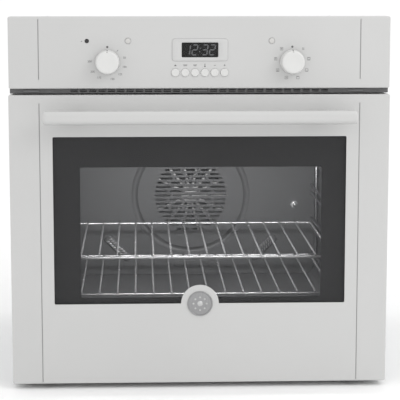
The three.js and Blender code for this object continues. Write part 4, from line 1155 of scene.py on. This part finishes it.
def make_outlet():
    """Air outlet between panel and door: a grey lip with two fine slots in each bay."""
    low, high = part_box("air_outlet_grille")
    face_t = 2 * MM
    bays = 28
    step = 29 * MM / 2
    half_w, half_h = 5.6 * MM, 0.6 * MM
    height = high.z - low.z
    holes = []
    for i in range(bays):
        x = (i - (bays - 1) / 2) * step
        for share in (0.34, 0.66):
            z = low.z + height * share
            holes.append(rounded_outline(x - half_w, x + half_w, z - half_h, z + half_h, 0.5 * MM, 2))
    bm = bmesh.new()
    pierced_plate(bm, box_outline(low, high, 1 * MM, 0, 3), holes, low.y, low.y + face_t)
    for z0, z1 in ((low.z, low.z + 1 * MM), (high.z - 1 * MM, high.z)):
        bevelled_box(bm, (low.x + 1 * MM, low.y + face_t, z0), (high.x - 1 * MM, high.y, z1), 0.2 * MM)
    finish_piece("air_outlet_lip", bm, "root", "black_plastic", ["air_outlet_grille"], paint=OUTLET)
    bm = bmesh.new()
    center = (low.z + high.z) / 2
    for x in (-262 * MM, 0, 244 * MM):
        bevelled_box(bm, (x - 12 * MM, low.y - 2.5 * MM, center - 1.4 * MM),
                     (x + 12 * MM, low.y, center + 1.4 * MM), 0.4 * MM)
    finish_piece("air_outlet_rests", bm, "root", "black_plastic", paint=PAINT["grey_enamel"])


def make_seams():
    """Grey painted shade in the pressed lines of the two front sheets."""
    groove = 250 * MM
    half = 0.66 * MM
    bottom = FACE_Y + 0.85 * MM
    for body, low_z, high_z in (
        ("root", PANEL_LOW.z + 14.2 * MM, PANEL_HIGH.z - 4.2 * MM),
        ("door", DOOR_LOW.z + 2.7 * MM, DOOR_HIGH.z - 13.2 * MM),
    ):
        bm = bmesh.new()
        for side in SIDES.values():
            x = side * groove
            bevelled_box(bm, (x - half, bottom - 0.3 * MM, low_z), (x + half, bottom, high_z), 0.05 * MM, 1)
        finish_piece(f"{body}_groove_shade_paint", bm, body, "white_enamel", paint=GROOVE_SHADE)


def add_screw(heads, recesses, place, outward, radius, height):
    """A pan-head screw with a cross recess, its seat at place."""
    profile = [(0, 0), (radius, 0), (radius, height * 0.35)]
    profile += [(radius * 0.86, height * 0.75), (radius * 0.5, height * 0.97), (0, height)]
    lathe(heads, profile, place, 20, outward)
    out = Vector(outward)
    first = out.orthogonal().normalized()
    second = out.cross(first)
    seat = Vector(place) + out * (height * 0.985)
    for along, across in ((first, second), (second, first)):
        corners = []
        for a, b in ((-1, -1), (1, -1), (1, 1), (-1, 1)):
            corners.append(seat + along * a * 1.5 * MM + across * b * 0.32 * MM)
        add_faces(recesses, [corners, [corner + out * 0.05 * MM for corner in corners]])


def screw_group(name, seats, body, slot, radius=3.4 * MM, height=1.6 * MM):
    """One piece of screw heads and one of their recesses, from (place, outward) pairs."""
    heads, recesses = bmesh.new(), bmesh.new()
    for place, outward in seats:
        add_screw(heads, recesses, place, outward, radius, height)
    finish_piece(f"{name}_screws", heads, body, slot, paint=PAINT["chrome_wire"])
    finish_piece(f"{name}_screw_recesses", recesses, body, "black_plastic")


def make_screws():
    side_low, side_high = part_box("side_panel_right")
    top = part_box("top_cover")[1].z
    seats = []
    for side in (-1, 1):
        x = side * side_high.x
        for y in (side_low.y + 14 * MM, 0, side_high.y - 14 * MM):
            for z in (side_low.z + 14 * MM, side_high.z - 12 * MM):
                seats.append(((x, y, z), (side, 0, 0)))
        for y in (side_low.y + 60 * MM, side_high.y - 40 * MM):
            seats.append(((side * (side_high.x - 12 * MM), y, top), (0, 0, 1)))
    screw_group("cover", seats, "root", "galvanised_steel")

    low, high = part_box("door_inner_frame")
    seats = [((x, high.y, z), BACK) for x in (low.x + 16 * MM, high.x - 16 * MM)
             for z in (low.z + 70 * MM, high.z - 16 * MM)]
    screw_group("door_frame", seats, "door", "brushed_steel", 3.0 * MM, 1.3 * MM)


def make_back_details():
    """Screws along the back cover's edge and a plain label between its ribs."""
    low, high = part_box("base_plate")
    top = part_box("top_cover")[1].z
    rear = high.y
    inset = 9 * MM
    left, right = low.x + inset, high.x - inset
    spots = [(x, z) for x in (left, -90 * MM, 90 * MM, right) for z in (inset, top - inset)]
    spots += [(x, z) for x in (left, right) for z in (top / 3, top * 2 / 3)]
    screw_group("back_cover", [((x, rear, z), BACK) for x, z in spots], "root", "galvanised_steel")

    outline = rounded_outline(60 * MM, 150 * MM, 490 * MM, 530 * MM, 2 * MM)
    plate_piece("rating_label", outline, [], rear + 0.02 * MM, rear + 0.2 * MM, "root", "galvanised_steel",
                paint=LABEL)
    bm = bmesh.new()
    start = 68 * MM
    for i, width in enumerate((70, 54, 62, 40)):
        z = (522 - 8 * i) * MM
        outline = rounded_outline(start, start + width * MM, z - 1.1 * MM, z + 1.1 * MM, 0.4 * MM, 2)
        pierced_plate(bm, outline, [], rear + 0.2 * MM, rear + 0.26 * MM)
    finish_print("rating_label_lines", bm)


def make_terminals():
    """Brass clamp screws on the terminal posts."""
    low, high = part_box("terminal_block")
    center = (low + high) / 2
    bm = bmesh.new()
    profile = [(0, 0), (3.2 * MM, 0), (3.2 * MM, 1.2 * MM), (2.6 * MM, 1.7 * MM), (0, 1.8 * MM)]
    for i in (-1, 0, 1):
        place = (center.x + i * 15 * MM, high.y - 6 * MM, center.z)
        lathe(bm, profile, place, 20, BACK)
    finish_piece("terminal_clamp_screws", bm, "root", "black_plastic", paint=BRASS)


# ---- assembly ----


def paint_frame():
    slots = {part["node"]: part["material_slot"] for part in frame["record"]["subparts"]}
    for node, holder in NODES.items():
        holder.data.materials.clear()
        holder.data.materials.append(PAINT[slots[node]])


make_camera()
make_studio()
paint_frame()
for prefix in ("thermostat", "selector"):
    make_knob(prefix)
make_dial_prints()
make_panel_marks()
make_bezel()
make_display()
make_buttons()
make_lenses()
make_glass()
make_badge()
make_handle()
make_handle_posts()
make_seal()
for node in ("wire_shelf_lower", "wire_shelf_upper"):
    make_shelf(node)
for word, side in SIDES.items():
    make_rack(word, side)
make_baffle()
make_baffle_fittings()
make_fan()
make_lamp()
make_grill_element()
make_outlet()
make_seams()
make_screws()
make_terminals()
make_back_details()
for node in ("door_front_panel", "control_panel"):
    soften(node, 0.35 * MM)
